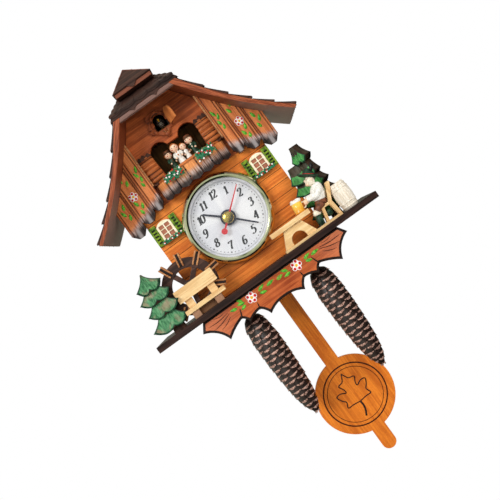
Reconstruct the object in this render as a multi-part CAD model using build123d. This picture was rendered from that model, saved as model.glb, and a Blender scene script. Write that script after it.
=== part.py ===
"""Quartz cuckoo clock with a carved gable house, dancers' balcony, pendulum and hanging cone weights.

Millimetres. +Z is up, the dial faces -Y and the flat back lies in the plane Y = 0.
The origin is the centre of the keyhole in the hanger plate, on the back face.
"""

import os
from math import atan2, cos, degrees, hypot, pi, radians, sin, tan

from build123d import *

os.makedirs("parts", exist_ok=True)

# ---- driving dimensions -------------------------------------------------------------------
HOUSE_HALF = 63.0        # half width of the case
WALL = 4.0               # side wall thickness
BACK_T = 3.0             # back panel thickness
FRONT_Y = -45.0          # outer face of the front walls
FRONT_T = 5.0            # front wall thickness
FRONT_IN = FRONT_Y + FRONT_T
SHELF_TOP = -132.5       # the case stands on this board
SHELF_T = 5.5
SHELF_BOTTOM = SHELF_TOP - SHELF_T
SHELF_HALF = 111.4
SHELF_FRONT = -74.0
SPLIT_Z = -37.0          # the lower wall ends and the gable begins here
ROOF_FRONT = -75.0
RIDGE_HALF = 18.0        # the two roof panels stop this far from the middle
DIAL_Z = -78.0           # height of the hands' axis
BEZEL_R = 40.0
GAP = 0.05               # running clearance between turning pieces, on the radius
SLIP = 0.3               # clearance between bodies that only pass each other

# the roof's two surfaces in the X-Z plane: top end, middle and eave end of each arc
ROOF_UNDER = ((RIDGE_HALF, 49.4), (56.0, 0.6), (97.6, -38.4))
ROOF_OVER = ((RIDGE_HALF, 61.4), (56.7, 6.1), (100.4, -36.6))
SHINGLE_T = 2.2          # thick lower end of each row of shingles
SHINGLE_ROWS = 6
HIP_FRONT_Z = 44.0       # top of the hip's lower edge
HIP_T = 4.5
HIP_PITCH = 25.6         # degrees
CAP_HALF = 18.5
CAP_BOTTOM = 58.2
CAP_FRONT = -58.0
CAP_FASCIA = 3.8
CAP_TOP = 80.7

STAGE_Y = -35.0          # axis of the dancers' turntable
STAGE_Z = -18.0          # its top face
STAGE_R = 13.5
BIRD_Z = 24.0            # middle of the bird's doorway
BIRD_DOOR_HINGE = (7.6, -48.2)
BIRD_TRAVEL = 14.0

PENDULUM_PIVOT_Z = -60.0
PENDULUM_Y = -15.0       # middle plane of the pendulum
PENDULUM_T = 4.0
BOB_Z = -274.0
BOB_R = 36.5
ROD_HALF = 6.8

WHEEL_AXIS = (-59.5, -107.4)
WHEEL_Y = (-62.4, -56.0)
CONE_X = 35.3
CONE_Y = -40.0
CONE_R = 13.1
EYE_R = 2.6              # ring radius of the hook and of each cone's eye
EYE_WIRE = 0.7
HOOK_Z = -142.5          # centre of the fixed eye


# ---- helpers ------------------------------------------------------------------------------
def slab(face, y_back, y_front):
    """A face drawn in X-Z, made solid from y_back forward to y_front."""
    return extrude(Plane.XZ.offset(-y_back) * face, amount=y_back - y_front)


def outline(*points):
    """A flat polygon with the given corners."""
    return make_face(Polyline(*points, close=True))


def block(x, y, z):
    """A box from (low, high) pairs."""
    size = [high - low for low, high in (x, y, z)]
    middle = [(low + high) / 2 for low, high in (x, y, z)]
    return Pos(*middle) * Box(*size)


def rod_y(x, z, radius, y_back, y_front):
    """A round bar along Y."""
    return slab(Pos(x, z) * Circle(radius), y_back, y_front)


def rod_z(x, y, radius, z_low, z_high):
    """A round bar along Z."""
    return Pos(x, y, (z_low + z_high) / 2) * Cylinder(radius, z_high - z_low)


def both_sides(shape):
    """The shape and its mirror image across the middle plane."""
    return [shape, mirror(shape, Plane.YZ)]


def arch(width, height, top_radius_share=1.0):
    """An arched doorway outline: its foot is at the origin."""
    half = width / 2
    spring = height - half * top_radius_share
    edge = Polyline((-half, spring), (-half, 0), (half, 0), (half, spring))
    return make_face(edge + ThreePointArc((half, spring), (0, height), (-half, spring)))


def egg(radius, half_length):
    """A solid of revolution about Z with an elliptical section."""
    turns = [radians(-90 + 15 * i) for i in range(13)]
    points = [(abs(radius * cos(a)), half_length * sin(a)) for a in turns]
    points[0], points[-1] = (0, -half_length), (0, half_length)
    return revolve(Plane.XZ * outline(*points), Axis.Z)


def save(name, *shapes):
    """Writes one node; several shapes stay separate solids."""
    parts = [p for shape in shapes for p in (shape if isinstance(shape, list) else [shape])]
    solids = [s for part in parts for s in part.solids()]
    export_step(solids[0] if len(solids) == 1 else Compound(children=solids), f"parts/{name}.step")


def circle_z(points, x):
    """Height at x of the circular arc through three (x, z) points, on the arc's lower side."""
    (x1, z1), (x2, z2), (x3, z3) = points
    d = 2 * (x1 * (z2 - z3) + x2 * (z3 - z1) + x3 * (z1 - z2))
    s1, s2, s3 = x1 * x1 + z1 * z1, x2 * x2 + z2 * z2, x3 * x3 + z3 * z3
    cx = (s1 * (z2 - z3) + s2 * (z3 - z1) + s3 * (z1 - z2)) / d
    cz = (s1 * (x3 - x2) + s2 * (x1 - x3) + s3 * (x2 - x1)) / d
    radius = hypot(x1 - cx, z1 - cz)
    return cz - (radius**2 - (x - cx) ** 2) ** 0.5


def under_z(x):
    return circle_z(ROOF_UNDER, abs(x))


def over_z(x):
    return circle_z(ROOF_OVER, abs(x))


def gear(teeth, module, y_back, y_front, centre, phase=0.0, bore=0.0):
    """A spur gear about a Y axis, with a tooth centred at the phase angle, in degrees from +X."""
    pitch_r = teeth * module / 2
    root, tip = pitch_r - 1.25 * module, pitch_r + 0.8 * module
    pitch = 2 * pi / teeth
    root_half, tip_half = 0.22 * pitch, 0.09 * pitch
    points = []
    for i in range(teeth):
        middle = radians(phase) + i * pitch
        for r, a in ((root, -root_half), (tip, -tip_half), (tip, tip_half), (root, root_half)):
            points.append((centre[0] + r * cos(middle + a), centre[1] + r * sin(middle + a)))
    wheel = slab(outline(*points), y_back, y_front)
    return wheel - rod_y(*centre, bore, y_back + 1, y_front - 1) if bore else wheel


# ---- case ---------------------------------------------------------------------------------
def roof_region(lowest, curve=under_z, half=HOUSE_HALF, top=50.0):
    """The X-Z area inside the house: straight sides, and the roof's underside above."""
    steps = [half - i * (half - RIDGE_HALF) / 8 for i in range(9)]
    right = [(half, lowest)] + [(x, curve(x)) for x in steps]
    left = [(-x, z) for x, z in reversed(right)]
    area = outline(*right, (RIDGE_HALF - 1, top), (1 - RIDGE_HALF, top), *left)
    return area - roof_section() - roof_section(-1)


DOOR_X = (-40.5, 38.8)   # the opening in the back panel
DOOR_Z = (-112.0, -38.0)
DOOR_AXIS = (-39.0, -1.2)
DOOR_KNUCKLE = 1.2
KEYHOLE_R = 4.0
PLATE_X = 11.0
PLATE_Z = (-10.0, 18.0)
PLATE_T = 1.0


def keyhole():
    slot = Pos(0, 6) * SlotOverall(16, 4, rotation=90)
    return Circle(KEYHOLE_R) + slot


def back_panel():
    panel = slab(roof_region(SHELF_TOP), 0, -BACK_T)
    panel -= block(DOOR_X, (-BACK_T - 1, 1), DOOR_Z)
    panel -= block((-PLATE_X, PLATE_X), (-PLATE_T, 1), PLATE_Z)
    panel -= block((-6, 6), (-BACK_T - 1, 1), (-6, 15))
    for end, way in ((DOOR_Z[0], -1), (DOOR_Z[1], 1)):
        low, high = sorted((end, end + way * 3.0))
        panel -= rod_z(*DOOR_AXIS, 0.6 + GAP, low, high)
    for x, z in plate_screws():
        panel -= rod_y(x, z, 1.0, 1, -BACK_T - 1)
    return panel


def hanger_plate():
    plate = block((-PLATE_X, PLATE_X), (-PLATE_T, 0), PLATE_Z) - slab(keyhole(), 1, -PLATE_T - 1)
    for x, z in plate_screws():
        plate -= rod_y(x, z, 1.0, 1, -PLATE_T - 1)
    return plate


def plate_screws():
    return [(x, z) for x in (-8.5, 8.5) for z in (-5.0, 13.0)]


def rear_door():
    """The service door: its left edge is a round knuckle with a pin at each end."""
    door = block((DOOR_AXIS[0], DOOR_X[1] - SLIP), (-2.4, 0), (DOOR_Z[0] + SLIP, DOOR_Z[1] - SLIP))
    door += rod_z(*DOOR_AXIS, DOOR_KNUCKLE, DOOR_Z[0] + SLIP, DOOR_Z[1] - SLIP)
    door += rod_z(*DOOR_AXIS, 0.6, DOOR_Z[0] - 2.5, DOOR_Z[1] + 2.5)
    for i in range(5):
        z = -52 - i * 3.0
        door -= block((8, 30), (-3, 1), (z - 0.7, z + 0.7))
    door -= slab(Pos(34, -75) * SlotOverall(12, 4, rotation=90), 0.1, -1.2)
    return door


def side_wall():
    top = under_z(HOUSE_HALF)
    inner = HOUSE_HALF - WALL
    edge = outline((inner, SHELF_TOP), (HOUSE_HALF, SHELF_TOP), (HOUSE_HALF, top), (inner, under_z(inner)))
    return slab(edge - roof_section(), -BACK_T, FRONT_IN)


SWITCH_Y = -24.0
SWITCH_Z = -114.0


def side_walls():
    left, right = mirror(side_wall(), Plane.YZ), side_wall()
    right -= block((50, 70), (SWITCH_Y - 4.5, SWITCH_Y + 4.5), (SWITCH_Z - 1.6, SWITCH_Z + 1.6))
    for row in range(3):
        for column in range(4):
            right -= Pos(61, -30 + column * 5, -104 + row * 5) * Rot(0, 90, 0) * Cylinder(1.2, 8)
    return [left, right]


INSERT_R = 35.5
PLANK_GROOVES = [-118.5, -110.0, -99.5, -90.0, -79.5, -69.5, -57.0, -45.0]


def front_wall():
    wall = slab(outline((-HOUSE_HALF, SHELF_TOP), (HOUSE_HALF, SHELF_TOP),
                        (HOUSE_HALF, SPLIT_Z), (-HOUSE_HALF, SPLIT_Z)), FRONT_IN, FRONT_Y)
    wall -= rod_y(0, DIAL_Z, INSERT_R, FRONT_IN + 1, FRONT_Y - 1)
    for z in PLANK_GROOVES:
        wall -= block((-HOUSE_HALF - 1, HOUSE_HALF + 1), (FRONT_Y - 1, FRONT_Y + 0.5), (z - 0.25, z + 0.25))
    return wall - rod_y(*WHEEL_AXIS, 1.2, FRONT_Y + 3.0, FRONT_Y - 1)


LOBE_X = 14.6
LOBE_Z = 1.9
LOBE_R = 9.4
STAGE_FLOOR = STAGE_Z - 2.5


def stage_opening():
    """The double-arched opening that the dancers stand in."""
    area = Pos(-LOBE_X, LOBE_Z) * Circle(LOBE_R) + Pos(LOBE_X, LOBE_Z) * Circle(LOBE_R)
    area += outline((-22, STAGE_FLOOR), (22, STAGE_FLOOR), (23.2, LOBE_Z), (9, 4.9), (-9, 4.9), (-23.2, LOBE_Z))
    return area


def bird_doorway():
    return Pos(0, BIRD_Z - 7) * arch(12.4, 14.4)


def gable_front():
    panel = slab(roof_region(SPLIT_Z), FRONT_IN, FRONT_Y)
    panel -= slab(stage_opening(), FRONT_IN + 1, FRONT_Y - 1)
    return panel - slab(bird_doorway(), FRONT_IN + 1, FRONT_Y - 1)


def shelf():
    board = block((-SHELF_HALF, SHELF_HALF), (SHELF_FRONT, 0), (SHELF_BOTTOM, SHELF_TOP))
    slot_x = 27.0
    board -= block((-slot_x, slot_x), (PENDULUM_Y - 5.5, PENDULUM_Y + 5.5), (SHELF_BOTTOM - 1, SHELF_TOP + 1))
    x = WHEEL_AXIS[0]
    board -= block((x - 22, x + 22), (WHEEL_Y[0] - 0.8, WHEEL_Y[1] + 0.8), (SHELF_BOTTOM - 1, SHELF_TOP + 1))
    for side in (-1, 1):
        board -= rod_z(side * CONE_X, CONE_Y, 0.7, SHELF_BOTTOM - 1, SHELF_BOTTOM + 3.5)
    return board


# ---- roof ---------------------------------------------------------------------------------
def roof_section(side=1):
    """One roof panel's section, between the under and over arcs."""
    under = ThreePointArc(*ROOF_UNDER)
    over = ThreePointArc(*ROOF_OVER)
    ends = Line(ROOF_UNDER[0], ROOF_OVER[0]) + Line(ROOF_UNDER[2], ROOF_OVER[2])
    face = make_face(under + over + ends)
    return face if side > 0 else mirror(face, Plane.YZ)


def hip_prism(drop):
    """Everything above the hip's slope, lowered by drop."""
    rise = tan(radians(HIP_PITCH))
    front_z = HIP_FRONT_Z - drop
    side = make_face(Polyline((ROOF_FRONT - 10, front_z - 10 * rise), (10, front_z + (10 - ROOF_FRONT) * rise),
                              (10, 140), (ROOF_FRONT - 10, 140), close=True))
    return extrude(Plane.YZ.offset(-120) * side, amount=240)


def cap_envelope():
    return block((-CAP_HALF, CAP_HALF), (CAP_FRONT, 0), (CAP_BOTTOM, CAP_TOP + 5))


def roof_panel():
    """The right panel; the hip's slope and the ridge cap are cut from its upper end."""
    return slab(roof_section(), 0, ROOF_FRONT) - hip_prism(HIP_T) - cap_envelope()


def over_tangent(x):
    """Unit vector down the roof's upper surface at x, and its outward normal."""
    slope = (over_z(x + 0.1) - over_z(x - 0.1)) / 0.2
    length = hypot(1, slope)
    return (1 / length, slope / length), (-slope / length, 1 / length)


def shingle_row_edges():
    """X positions of the rows' lower ends, from the eave up."""
    eave, top = ROOF_OVER[2][0], RIDGE_HALF + 0.6
    return [eave - i * (eave - top) / SHINGLE_ROWS for i in range(SHINGLE_ROWS + 1)]


def shingles():
    """Wedge rows, each with its thick end downhill, on the right panel."""
    rows = []
    edges = shingle_row_edges()
    for low, high in zip(edges, edges[1:]):
        count = 4
        inner = [low + i * (high - low) / count for i in range(count + 1)]
        bottom = [(x, over_z(x)) for x in inner]
        outer = []
        for i, x in enumerate(inner):
            normal = over_tangent(x)[1]
            lift = SHINGLE_T * (1 - 0.75 * i / count)
            outer.append((x + lift * normal[0], over_z(x) + lift * normal[1]))
        row = slab(outline(*bottom, *reversed(outer)), 0, ROOF_FRONT) - hip_prism(HIP_T) - cap_envelope()
        rows += row.solids()
    return rows


def hip_roof():
    """The sloped front of the roof, with its fascia board below."""
    steps = [34.0 - i * (34.0 - RIDGE_HALF) / 4 for i in range(5)]
    right = [(x, over_z(x)) for x in steps]
    area = outline(*right, *[(-x, z) for x, z in reversed(right)])
    slope = slab(area, -22, ROOF_FRONT)
    slope = (slope & hip_prism(HIP_T)) - hip_prism(0) - cap_envelope()
    fascia_top = HIP_FRONT_Z - HIP_T - 0.2
    fascia = block((-40, 40), (ROOF_FRONT, ROOF_FRONT + 5), (36.0, fascia_top))
    fascia -= slab(roof_section(), 1, ROOF_FRONT - 1)
    fascia -= slab(roof_section(-1), 1, ROOF_FRONT - 1)
    middle = [s for s in fascia.solids() if abs(s.center().X) < 5]
    return [max(slope.solids(), key=lambda s: s.volume), *middle]


def ridge_cap():
    """A small hipped roof over the ridge, hollowed to sit on the ridge block."""
    base = block((-CAP_HALF, CAP_HALF), (CAP_FRONT, 0), (CAP_BOTTOM, CAP_BOTTOM + CAP_FASCIA))
    rise = CAP_TOP - CAP_BOTTOM - CAP_FASCIA
    gable = outline((-CAP_HALF, 0), (CAP_HALF, 0), (0, rise))
    top = Pos(0, 0, CAP_BOTTOM + CAP_FASCIA) * slab(gable, 0, CAP_FRONT)
    hip = make_face(Polyline((CAP_FRONT - 1, 0), (CAP_FRONT, 0), (CAP_FRONT + CAP_HALF, rise),
                             (CAP_FRONT + CAP_HALF, rise + 1), (CAP_FRONT - 1, rise + 1), close=True))
    cut = Pos(0, 0, CAP_BOTTOM + CAP_FASCIA) * extrude(Plane.YZ.offset(-30) * hip, amount=60)
    return base + (top - cut)


def ridge_block():
    """The beam between the two panels that carries the cap."""
    beam = block((-RIDGE_HALF + 1, RIDGE_HALF - 1), (FRONT_Y, 0), (50.0, CAP_BOTTOM))
    return max((beam - hip_prism(HIP_T)).solids(), key=lambda s: s.volume)


# ---- house front ornaments ------------------------------------------------------------------
SIDING = [  # inner x, outer x, lowest side z, depth in front of the wall
    (37.0, 48.6, -36.2, 8.0),
    (48.6, 62.9, -40.6, 6.5),
    (62.9, 77.2, -46.2, 5.0),
]
SIDING_POINT = 2.6
SIDING_CUT = 2.2
SIDING_REED = 2.1         # from a board's edge to its flute


def siding_board(inner, outer, low, depth):
    """A board with a reed down each edge and a cut-back foot; its head follows the roof's underside."""
    middle, width = (inner + outer) / 2, outer - inner
    area = outline((inner, low + SIDING_CUT), (inner + 0.3 * width, low - SIDING_POINT),
                   (outer - 0.3 * width, low - SIDING_POINT), (outer, low + SIDING_CUT),
                   (outer, under_z(outer) - 0.1), (middle, under_z(middle) - 0.1), (inner, under_z(inner) - 0.1))
    board = slab(area, FRONT_Y, FRONT_Y - depth)
    for x in (inner + SIDING_REED, outer - SIDING_REED):
        board -= rod_z(x, FRONT_Y - depth, 0.6, low - 10, 60)
    return board


def siding_boards():
    return [s for spec in SIDING for s in both_sides(siding_board(*spec))]


BALCONY_PLANKS = [  # middle x, middle y, turn about Z in degrees, width
    (0.0, -62.0, 0, 11.0), (11.2, -62.0, 0, 11.0),
    (21.2, -59.2, 38, 9.6), (29.4, -53.2, 38, 9.6),
]
PLANK_TOP = -21.4
PLANK_LOW = -36.0
PLANK_POINT = 2.0
RAIL_TOP = -18.9


def balcony_plank(x, y, turn, width):
    half = width / 2 - 0.1
    area = outline((-half, PLANK_LOW), (0, PLANK_LOW - PLANK_POINT), (half, PLANK_LOW),
                   (half, PLANK_TOP), (-half, PLANK_TOP))
    return Pos(x, y, 0) * Rot(0, 0, turn) * slab(area, 1.2, -1.2)


def bay(y_front, half_front, half_back, z, y_back=FRONT_Y):
    """A board in the balcony's plan shape."""
    plan = make_face(Polyline((-half_back, y_back), (-half_front, y_front),
                              (half_front, y_front), (half_back, y_back), close=True))
    return Pos(0, 0, z[0]) * extrude(plan, amount=z[1] - z[0])


def balcony_rail():
    planks = []
    for spec in BALCONY_PLANKS:
        board = balcony_plank(*spec)
        planks += [board] if spec[0] == 0 else both_sides(board)
    rail = bay(-63.8, 18.2, 35.6, (PLANK_TOP, RAIL_TOP)) - bay(-60.2, 16.2, 33.0, (PLANK_TOP - 1, RAIL_TOP + 1),
                                                             FRONT_Y + 1)
    return planks + [rail]


def balcony_floor():
    return bay(-60.0, 15.6, 31.0, (STAGE_FLOOR - 2.0, STAGE_FLOOR - 0.1))


def flower_boxes():
    """Two on the balcony's rail and two under the windows."""
    balcony = block((7.0, 25.0), (-69.2, -64.4), (-27.5, RAIL_TOP + 0.4))
    window = block((WINDOW_X - 10.5, WINDOW_X + 10.5), (FRONT_Y - 5.5, FRONT_Y - 2.6), (-66.0, -62.6))
    return both_sides(balcony) + both_sides(window)


SHUTTER_Z = (-17.6, 5.0)


def gable_shutters():
    """The carved leaves folded back beside the dancers' opening."""
    low, high = SHUTTER_Z
    leaf = slab(outline((24.6, low), (36.0, low), (36.0, high + 1.0), (33.0, high + 2.2), (24.6, high - 1.5)),
                FRONT_Y, FRONT_Y - 2.2)
    post = block((36.0, 37.0), (FRONT_Y - 7.0, FRONT_Y), (-19.0, under_z(37.0) - 0.3))
    bracket = block((26.0, 36.8), (FRONT_Y - 4.0, FRONT_Y), (-20.6, -18.2)) - balcony_clearance()
    return both_sides(leaf) + both_sides(post) + [s for b in bracket.solids() for s in both_sides(b)]


def balcony_clearance():
    return bay(-70.0, 20.0, 37.0, (-60, -18.8))


WINDOW_X = 49.3
WINDOW_FOOT = -64.0
WINDOW_W = 14.0
WINDOW_H = 17.5


def window_frame():
    frame = slab(Pos(WINDOW_X, WINDOW_FOOT) * arch(WINDOW_W, WINDOW_H, 0.45), FRONT_Y, FRONT_Y - 2.2)
    for x in (-1, 1):
        for z in range(3):
            low = WINDOW_FOOT + 1.8 + z * 4.6
            high = low + 3.9 - (0.6 if z == 2 else 0)
            middle = WINDOW_X + x * 2.8
            frame -= block((middle - 2.3, middle + 2.3), (FRONT_Y - 3, FRONT_Y - 1.2), (low, high))
    return frame


def window_shutters():
    """Louvred shutters beside each window, outer and inner."""
    shapes = []
    for near, far in ((WINDOW_X + WINDOW_W / 2 + 0.1, HOUSE_HALF - 0.1), (WINDOW_X - WINDOW_W / 2 - 0.1, 36.0)):
        low, high = sorted((near, far))
        leaf = block((low, high), (FRONT_Y - 1.8, FRONT_Y), (-65.3, -46.2))
        for i in range(5):
            z = -62.0 + i * 3.0
            leaf -= block((low + 1.6, high - 1.6), (FRONT_Y - 2.8, FRONT_Y - 0.9), (z - 0.8, z + 0.8))
        leaf -= rod_y(0, DIAL_Z, BEZEL_R + SLIP, FRONT_Y + 1, FRONT_Y - 6)
        shapes += both_sides(leaf)
    return shapes


def cuckoo_frame():
    """The carved surround of the bird's doorway, leaf shaped, with a point at its foot."""
    right = [(0, 9.8), (4.6, 14.2), (8.4, 15.2), (7.6, 17.4), (8.6, 21.0), (8.0, 27.0), (9.2, 31.4),
             (5.4, 33.2), (2.6, 35.2), (0, 36.4)]
    left = [(-4.0, 34.6), (-7.6, 34.0), (-10.6, 31.0), (-9.4, 27.4), (-11.6, 24.0), (-10.0, 21.4),
            (-12.6, 17.6), (-9.0, 16.2), (-6.0, 14.0)]
    board = slab(outline(*right, *left), FRONT_Y, FRONT_Y - 2.0)
    return board - slab(bird_doorway(), FRONT_Y + 1, FRONT_Y - 4)


APRON_Y = (-70.0, -64.0)
APRON_RIGHT = [  # corners of the right half, from the top down to the middle arch
    (68.5, SHELF_BOTTOM), (73.9, -146.2), (57.4, -163.2), (39.9, -154.3), (35.2, -161.0),
    (22.9, -156.6), (17.2, -165.2),
]


def apron_board():
    """The carved leaf board under the shelf; its longer lower edges are hollow curves."""
    tip, low_tip, notch, lobe, notch2, fang = APRON_RIGHT[1:]
    edges = Line(APRON_RIGHT[0], tip)
    edges += ThreePointArc(tip, (63.5, -152.6), low_tip)
    edges += Line(low_tip, notch) + Line(notch, lobe) + Line(lobe, notch2) + Line(notch2, fang)
    edges += ThreePointArc(fang, (8.8, -161.2), (0, -160.2)) + Line((0, -160.2), (0, SHELF_BOTTOM))
    edges += Line((0, SHELF_BOTTOM), APRON_RIGHT[0])
    half = make_face(edges)
    whole = slab(half, APRON_Y[1], APRON_Y[0])
    return whole + mirror(whole, Plane.YZ)


# ---- scenery on the shelf --------------------------------------------------------------------
def bench():
    """Back board on two posts, a seat board and two pairs of legs."""
    x_low, x_high, y_back, y_front = -75.0, -37.0, -63.4, -73.6
    back = block((x_low, x_high), (y_back - 3.6, y_back - 1.6), (-115.0, -103.6))
    seat = block((x_low, x_high + 1), (y_front, y_back), (-126.2, -122.4))
    shapes = [back, seat]
    for x in (-67.5, -45.0):
        shapes.append(block((x - 3.5, x + 3.5), (y_back - 1.6, y_back), (-122.4, -105.0)))
        shapes.append(block((x - 3.5, x + 3.5), (y_front + 1.6, y_back - 2.4), (SHELF_TOP, -126.2)))
    shapes.append(block((-64.0, -48.5), (y_back - 5.0, y_back - 3.5), (SHELF_TOP, -126.2)))
    return shapes


PLANK_Y = (-71.0, -59.5)
PLANK_TOP_Z = SHELF_TOP + 2.0


def table():
    """A plank table on an arched trestle, on the thin ground plank of the drinker's group."""
    ground = block((22.0, 79.5), PLANK_Y, (SHELF_TOP, PLANK_TOP_Z))
    top = block((18.8, 58.0), (-71.5, -60.0), (-115.8, -111.6))
    trestle = slab(outline((22.8, PLANK_TOP_Z), (54.4, PLANK_TOP_Z), (47.6, -115.8), (30.2, -115.8)), -62.5, -69.0)
    trestle -= slab(Pos(38.4, PLANK_TOP_Z - 0.01) * arch(14.0, 8.6), -60, -72)
    return [ground, top, *trestle.solids()]


def chair():
    """Side frames, seat and back rail of the drinker's chair."""
    shapes = []
    for y_back in (-60.6, -68.0):
        frame = outline((64.6, PLANK_TOP_Z), (67.2, PLANK_TOP_Z), (69.6, -119.4), (74.8, -119.4), (77.0, PLANK_TOP_Z),
                        (79.6, PLANK_TOP_Z), (78.2, -118.0), (86.0, -103.2), (82.6, -102.4), (75.0, -117.0),
                        (67.4, -117.0))
        shapes.append(slab(frame, y_back, y_back - 1.8))
    shapes.append(block((68.4, 75.4), (-68.0, -62.4), (-119.4, -117.6)))
    return shapes


def beer_drinker():
    """A carved seated man in profile: hat, head, trunk, arm, thigh and shin, with his mug."""
    y = -65.2
    trunk = Pos(73.6, y, -109.0) * Rot(0, 8, 0) * slab(Ellipse(5.4, 8.4), 2.7, -2.7)
    trunk &= block((60, 90), (-80, -50), (-117.5, -90))
    head = Pos(71.6, y, -95.6) * Sphere(4.2)
    hat = Pos(73.6, y, -91.4) * Rot(0, 24, 0) * (Cylinder(7.6, 1.2) + Pos(0.6, 0, 3.2) * Cone(4.4, 3.0, 5.4))
    arm = Pos(65.6, y, -105.6) * Rot(0, 90, 0) * Cylinder(2.3, 15)
    thigh = Pos(66.2, y, -114.6) * Rot(0, 96, 0) * Cylinder(2.7, 13)
    shin = rod_z(61.4, y, 2.1, PLANK_TOP_Z + 2.2, -114.6)
    shoe = block((56.2, 63.6), (y - 2.2, y + 2.2), (PLANK_TOP_Z, PLANK_TOP_Z + 2.6))
    body = trunk + head + hat + arm + thigh + shin + shoe
    mug = rod_z(53.0, y, 4.2, -111.5, -98.6)
    body -= block((50, 60), (-75, -55), (-120, -111.55)) & block((50, 58.1), (-75, -55), (-120, -111))
    body -= rod_z(53.0, y, 4.25, -112, -98)
    body = max(body.solids(), key=lambda s: s.volume)
    seat = block((64, 80), (-75, -55), (-119.5, -116.9))
    frames = block((60, 90), (-62.5, -55), (-140, -100)) + block((60, 90), (-75, -67.9), (-140, -100))
    body = max((body - seat - frames).solids(), key=lambda s: s.volume)
    return [body, mug]


def barrel():
    """A bulging cask on its end."""
    x, y, height = 89.0, -65.6, 24.6
    side = ThreePointArc((5.8, 0), (8.1, height / 2), (5.4, height))
    half = make_face(side + Polyline((5.4, height), (0, height), (0, 0), (5.8, 0)))
    return Pos(x, y, SHELF_TOP) * revolve(Plane.XZ * half, Axis.Z)


def tree(tiers, foot, height, thickness, trunk):
    """A carved fir: stacked tiers over a trunk; tiers are (low z, high z, half width)."""
    shape = block((-trunk, trunk), (-thickness / 2, thickness / 2), (0, foot))
    for low, high, half in tiers:
        area = outline((-half, low + 1.6), (0, low), (half, low + 1.6), (1.2, high), (-1.2, high))
        shape += slab(area, thickness / 2, -thickness / 2)
    return shape


def tree_left():
    tiers = [(2.6, 21.0, 17.6), (14.0, 33.0, 14.4), (24.6, 43.4, 13.8), (35.0, 57.6, 11.8)]
    return Pos(-90.5, -68.2, SHELF_TOP) * tree(tiers, 5.0, 57.6, 8.4, 5.6)


def tree_right():
    tiers = [(6.0, 26.0, 20.0), (19.0, 42.0, 18.0), (34.0, 57.0, 14.6), (50.0, 72.0, 10.0)]
    return Pos(77.6, -52.0, SHELF_TOP) * tree(tiers, 8.0, 72.0, 9.0, 5.0)


# ---- dial and hands ---------------------------------------------------------------------------
DIAL_Y = -45.6
LENS_Y = (-53.4, -52.2)
HOUR_Y = (-47.2, -46.7)
MINUTE_Y = (-48.6, -48.1)
SECOND_Y = (-50.0, -49.6)
HOUR_ANGLE = 311.5       # degrees clockwise from twelve
MINUTE_ANGLE = 135.0
SECOND_ANGLE = 49.8
HUB_R = 6.9
ARBOR_R = 0.5
MINUTE_PIPE_R = 1.3
HOUR_PIPE_R = 2.1
STEM_R = 4.0
WALL_THIN = 1.2


def dial_turn(points):
    """A profile of (radius, y) points turned about the hands' axis."""
    face = make_face(Polyline(*[(r, y, DIAL_Z) for r, y in points], close=True))
    return revolve(face, Axis((0, 0, DIAL_Z), (0, 1, 0)))


def bezel():
    """The rolled metal rim, with a groove that holds the lens and a step that holds the dial."""
    crest = [(40.0, FRONT_Y), (40.0, -49.5), (39.4, -51.8), (38.3, -53.6), (36.9, -54.5), (35.6, -54.5),
             (34.4, -53.8)]
    groove = [(34.4, LENS_Y[0]), (35.3, LENS_Y[0]), (35.3, LENS_Y[1]), (34.4, LENS_Y[1])]
    return dial_turn([*crest, *groove, (34.4, DIAL_Y), (34.6, DIAL_Y), (34.6, FRONT_Y)])


def dial_cup():
    """The moulded cup behind the dial; the movement is clamped to its floor."""
    cup = rod_y(0, DIAL_Z, INSERT_R - 0.1, MOVE_Y[1], FRONT_Y) - rod_y(0, DIAL_Z, 33.0, MOVE_Y[1] - 1.4, -60)
    return cup - rod_y(0, DIAL_Z, STEM_R, 0, -60)


def dial():
    return rod_y(0, DIAL_Z, 34.6, FRONT_Y, DIAL_Y) - rod_y(0, DIAL_Z, STEM_R, 0, -60)


def lens():
    return rod_y(0, DIAL_Z, 35.3, LENS_Y[1], LENS_Y[0])


def hand(length, width, y, hub_r, bore, angle, tail=0.0):
    """A tapering hand on a round hub; the angle runs clockwise from twelve."""
    blade = outline((-width / 2, -tail), (width / 2, -tail), (width * 0.3, length), (-width * 0.3, length))
    flat = Circle(hub_r) + blade
    shape = slab(Rot(0, 0, -angle) * flat, y[1], y[0])
    return Pos(0, 0, DIAL_Z) * shape - rod_y(0, DIAL_Z, bore, 10, -60)


def second_hand():
    """A needle with a round counterweight, under a domed cap."""
    turned = Pos(0, 0, DIAL_Z) * slab(Rot(0, 0, -SECOND_ANGLE) * (Circle(2.4) + Pos(0, -12.6) * Circle(2.7)
             + outline((-0.9, -12.6), (0.9, -12.6), (0.42, 29.4), (-0.42, 29.4))), SECOND_Y[1], SECOND_Y[0])
    dome = [(0, SECOND_Y[0]), (5.2, SECOND_Y[0])]
    dome += [(5.2 * cos(a), SECOND_Y[0] - 1.9 * sin(a)) for a in [radians(15 * i) for i in range(1, 6)]]
    return turned + dial_turn([*dome, (0, SECOND_Y[0] - 1.9)])


# ---- movement ---------------------------------------------------------------------------------
MOVE_HALF = 28.0
MOVE_Y = (-21.0, FRONT_IN + 2.0)         # rear face and front face of the movement
MOVE_SPLIT = -29.0
BATTERY_Z = -96.8
BATTERY_R = 7.2
BATTERY_LEN = 50.0
THIRD_DISTANCE = 10.4
MOTION_DISTANCE = 6.6
TEETH = {"second_pinion": 12, "third": 90, "third_pinion": 12, "centre": 96, "cannon": 12, "motion": 36,
         "motion_pinion": 12, "hour": 48, "knob_pinion": 12}
CENTRE = (0.0, DIAL_Z)
THIRD_TURN = 40.0        # direction of the third wheel from the centre, degrees from +X
MOTION_TURN = 180.0


def polar(origin, distance, turn):
    return origin[0] + distance * cos(radians(turn)), origin[1] + distance * sin(radians(turn))


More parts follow.
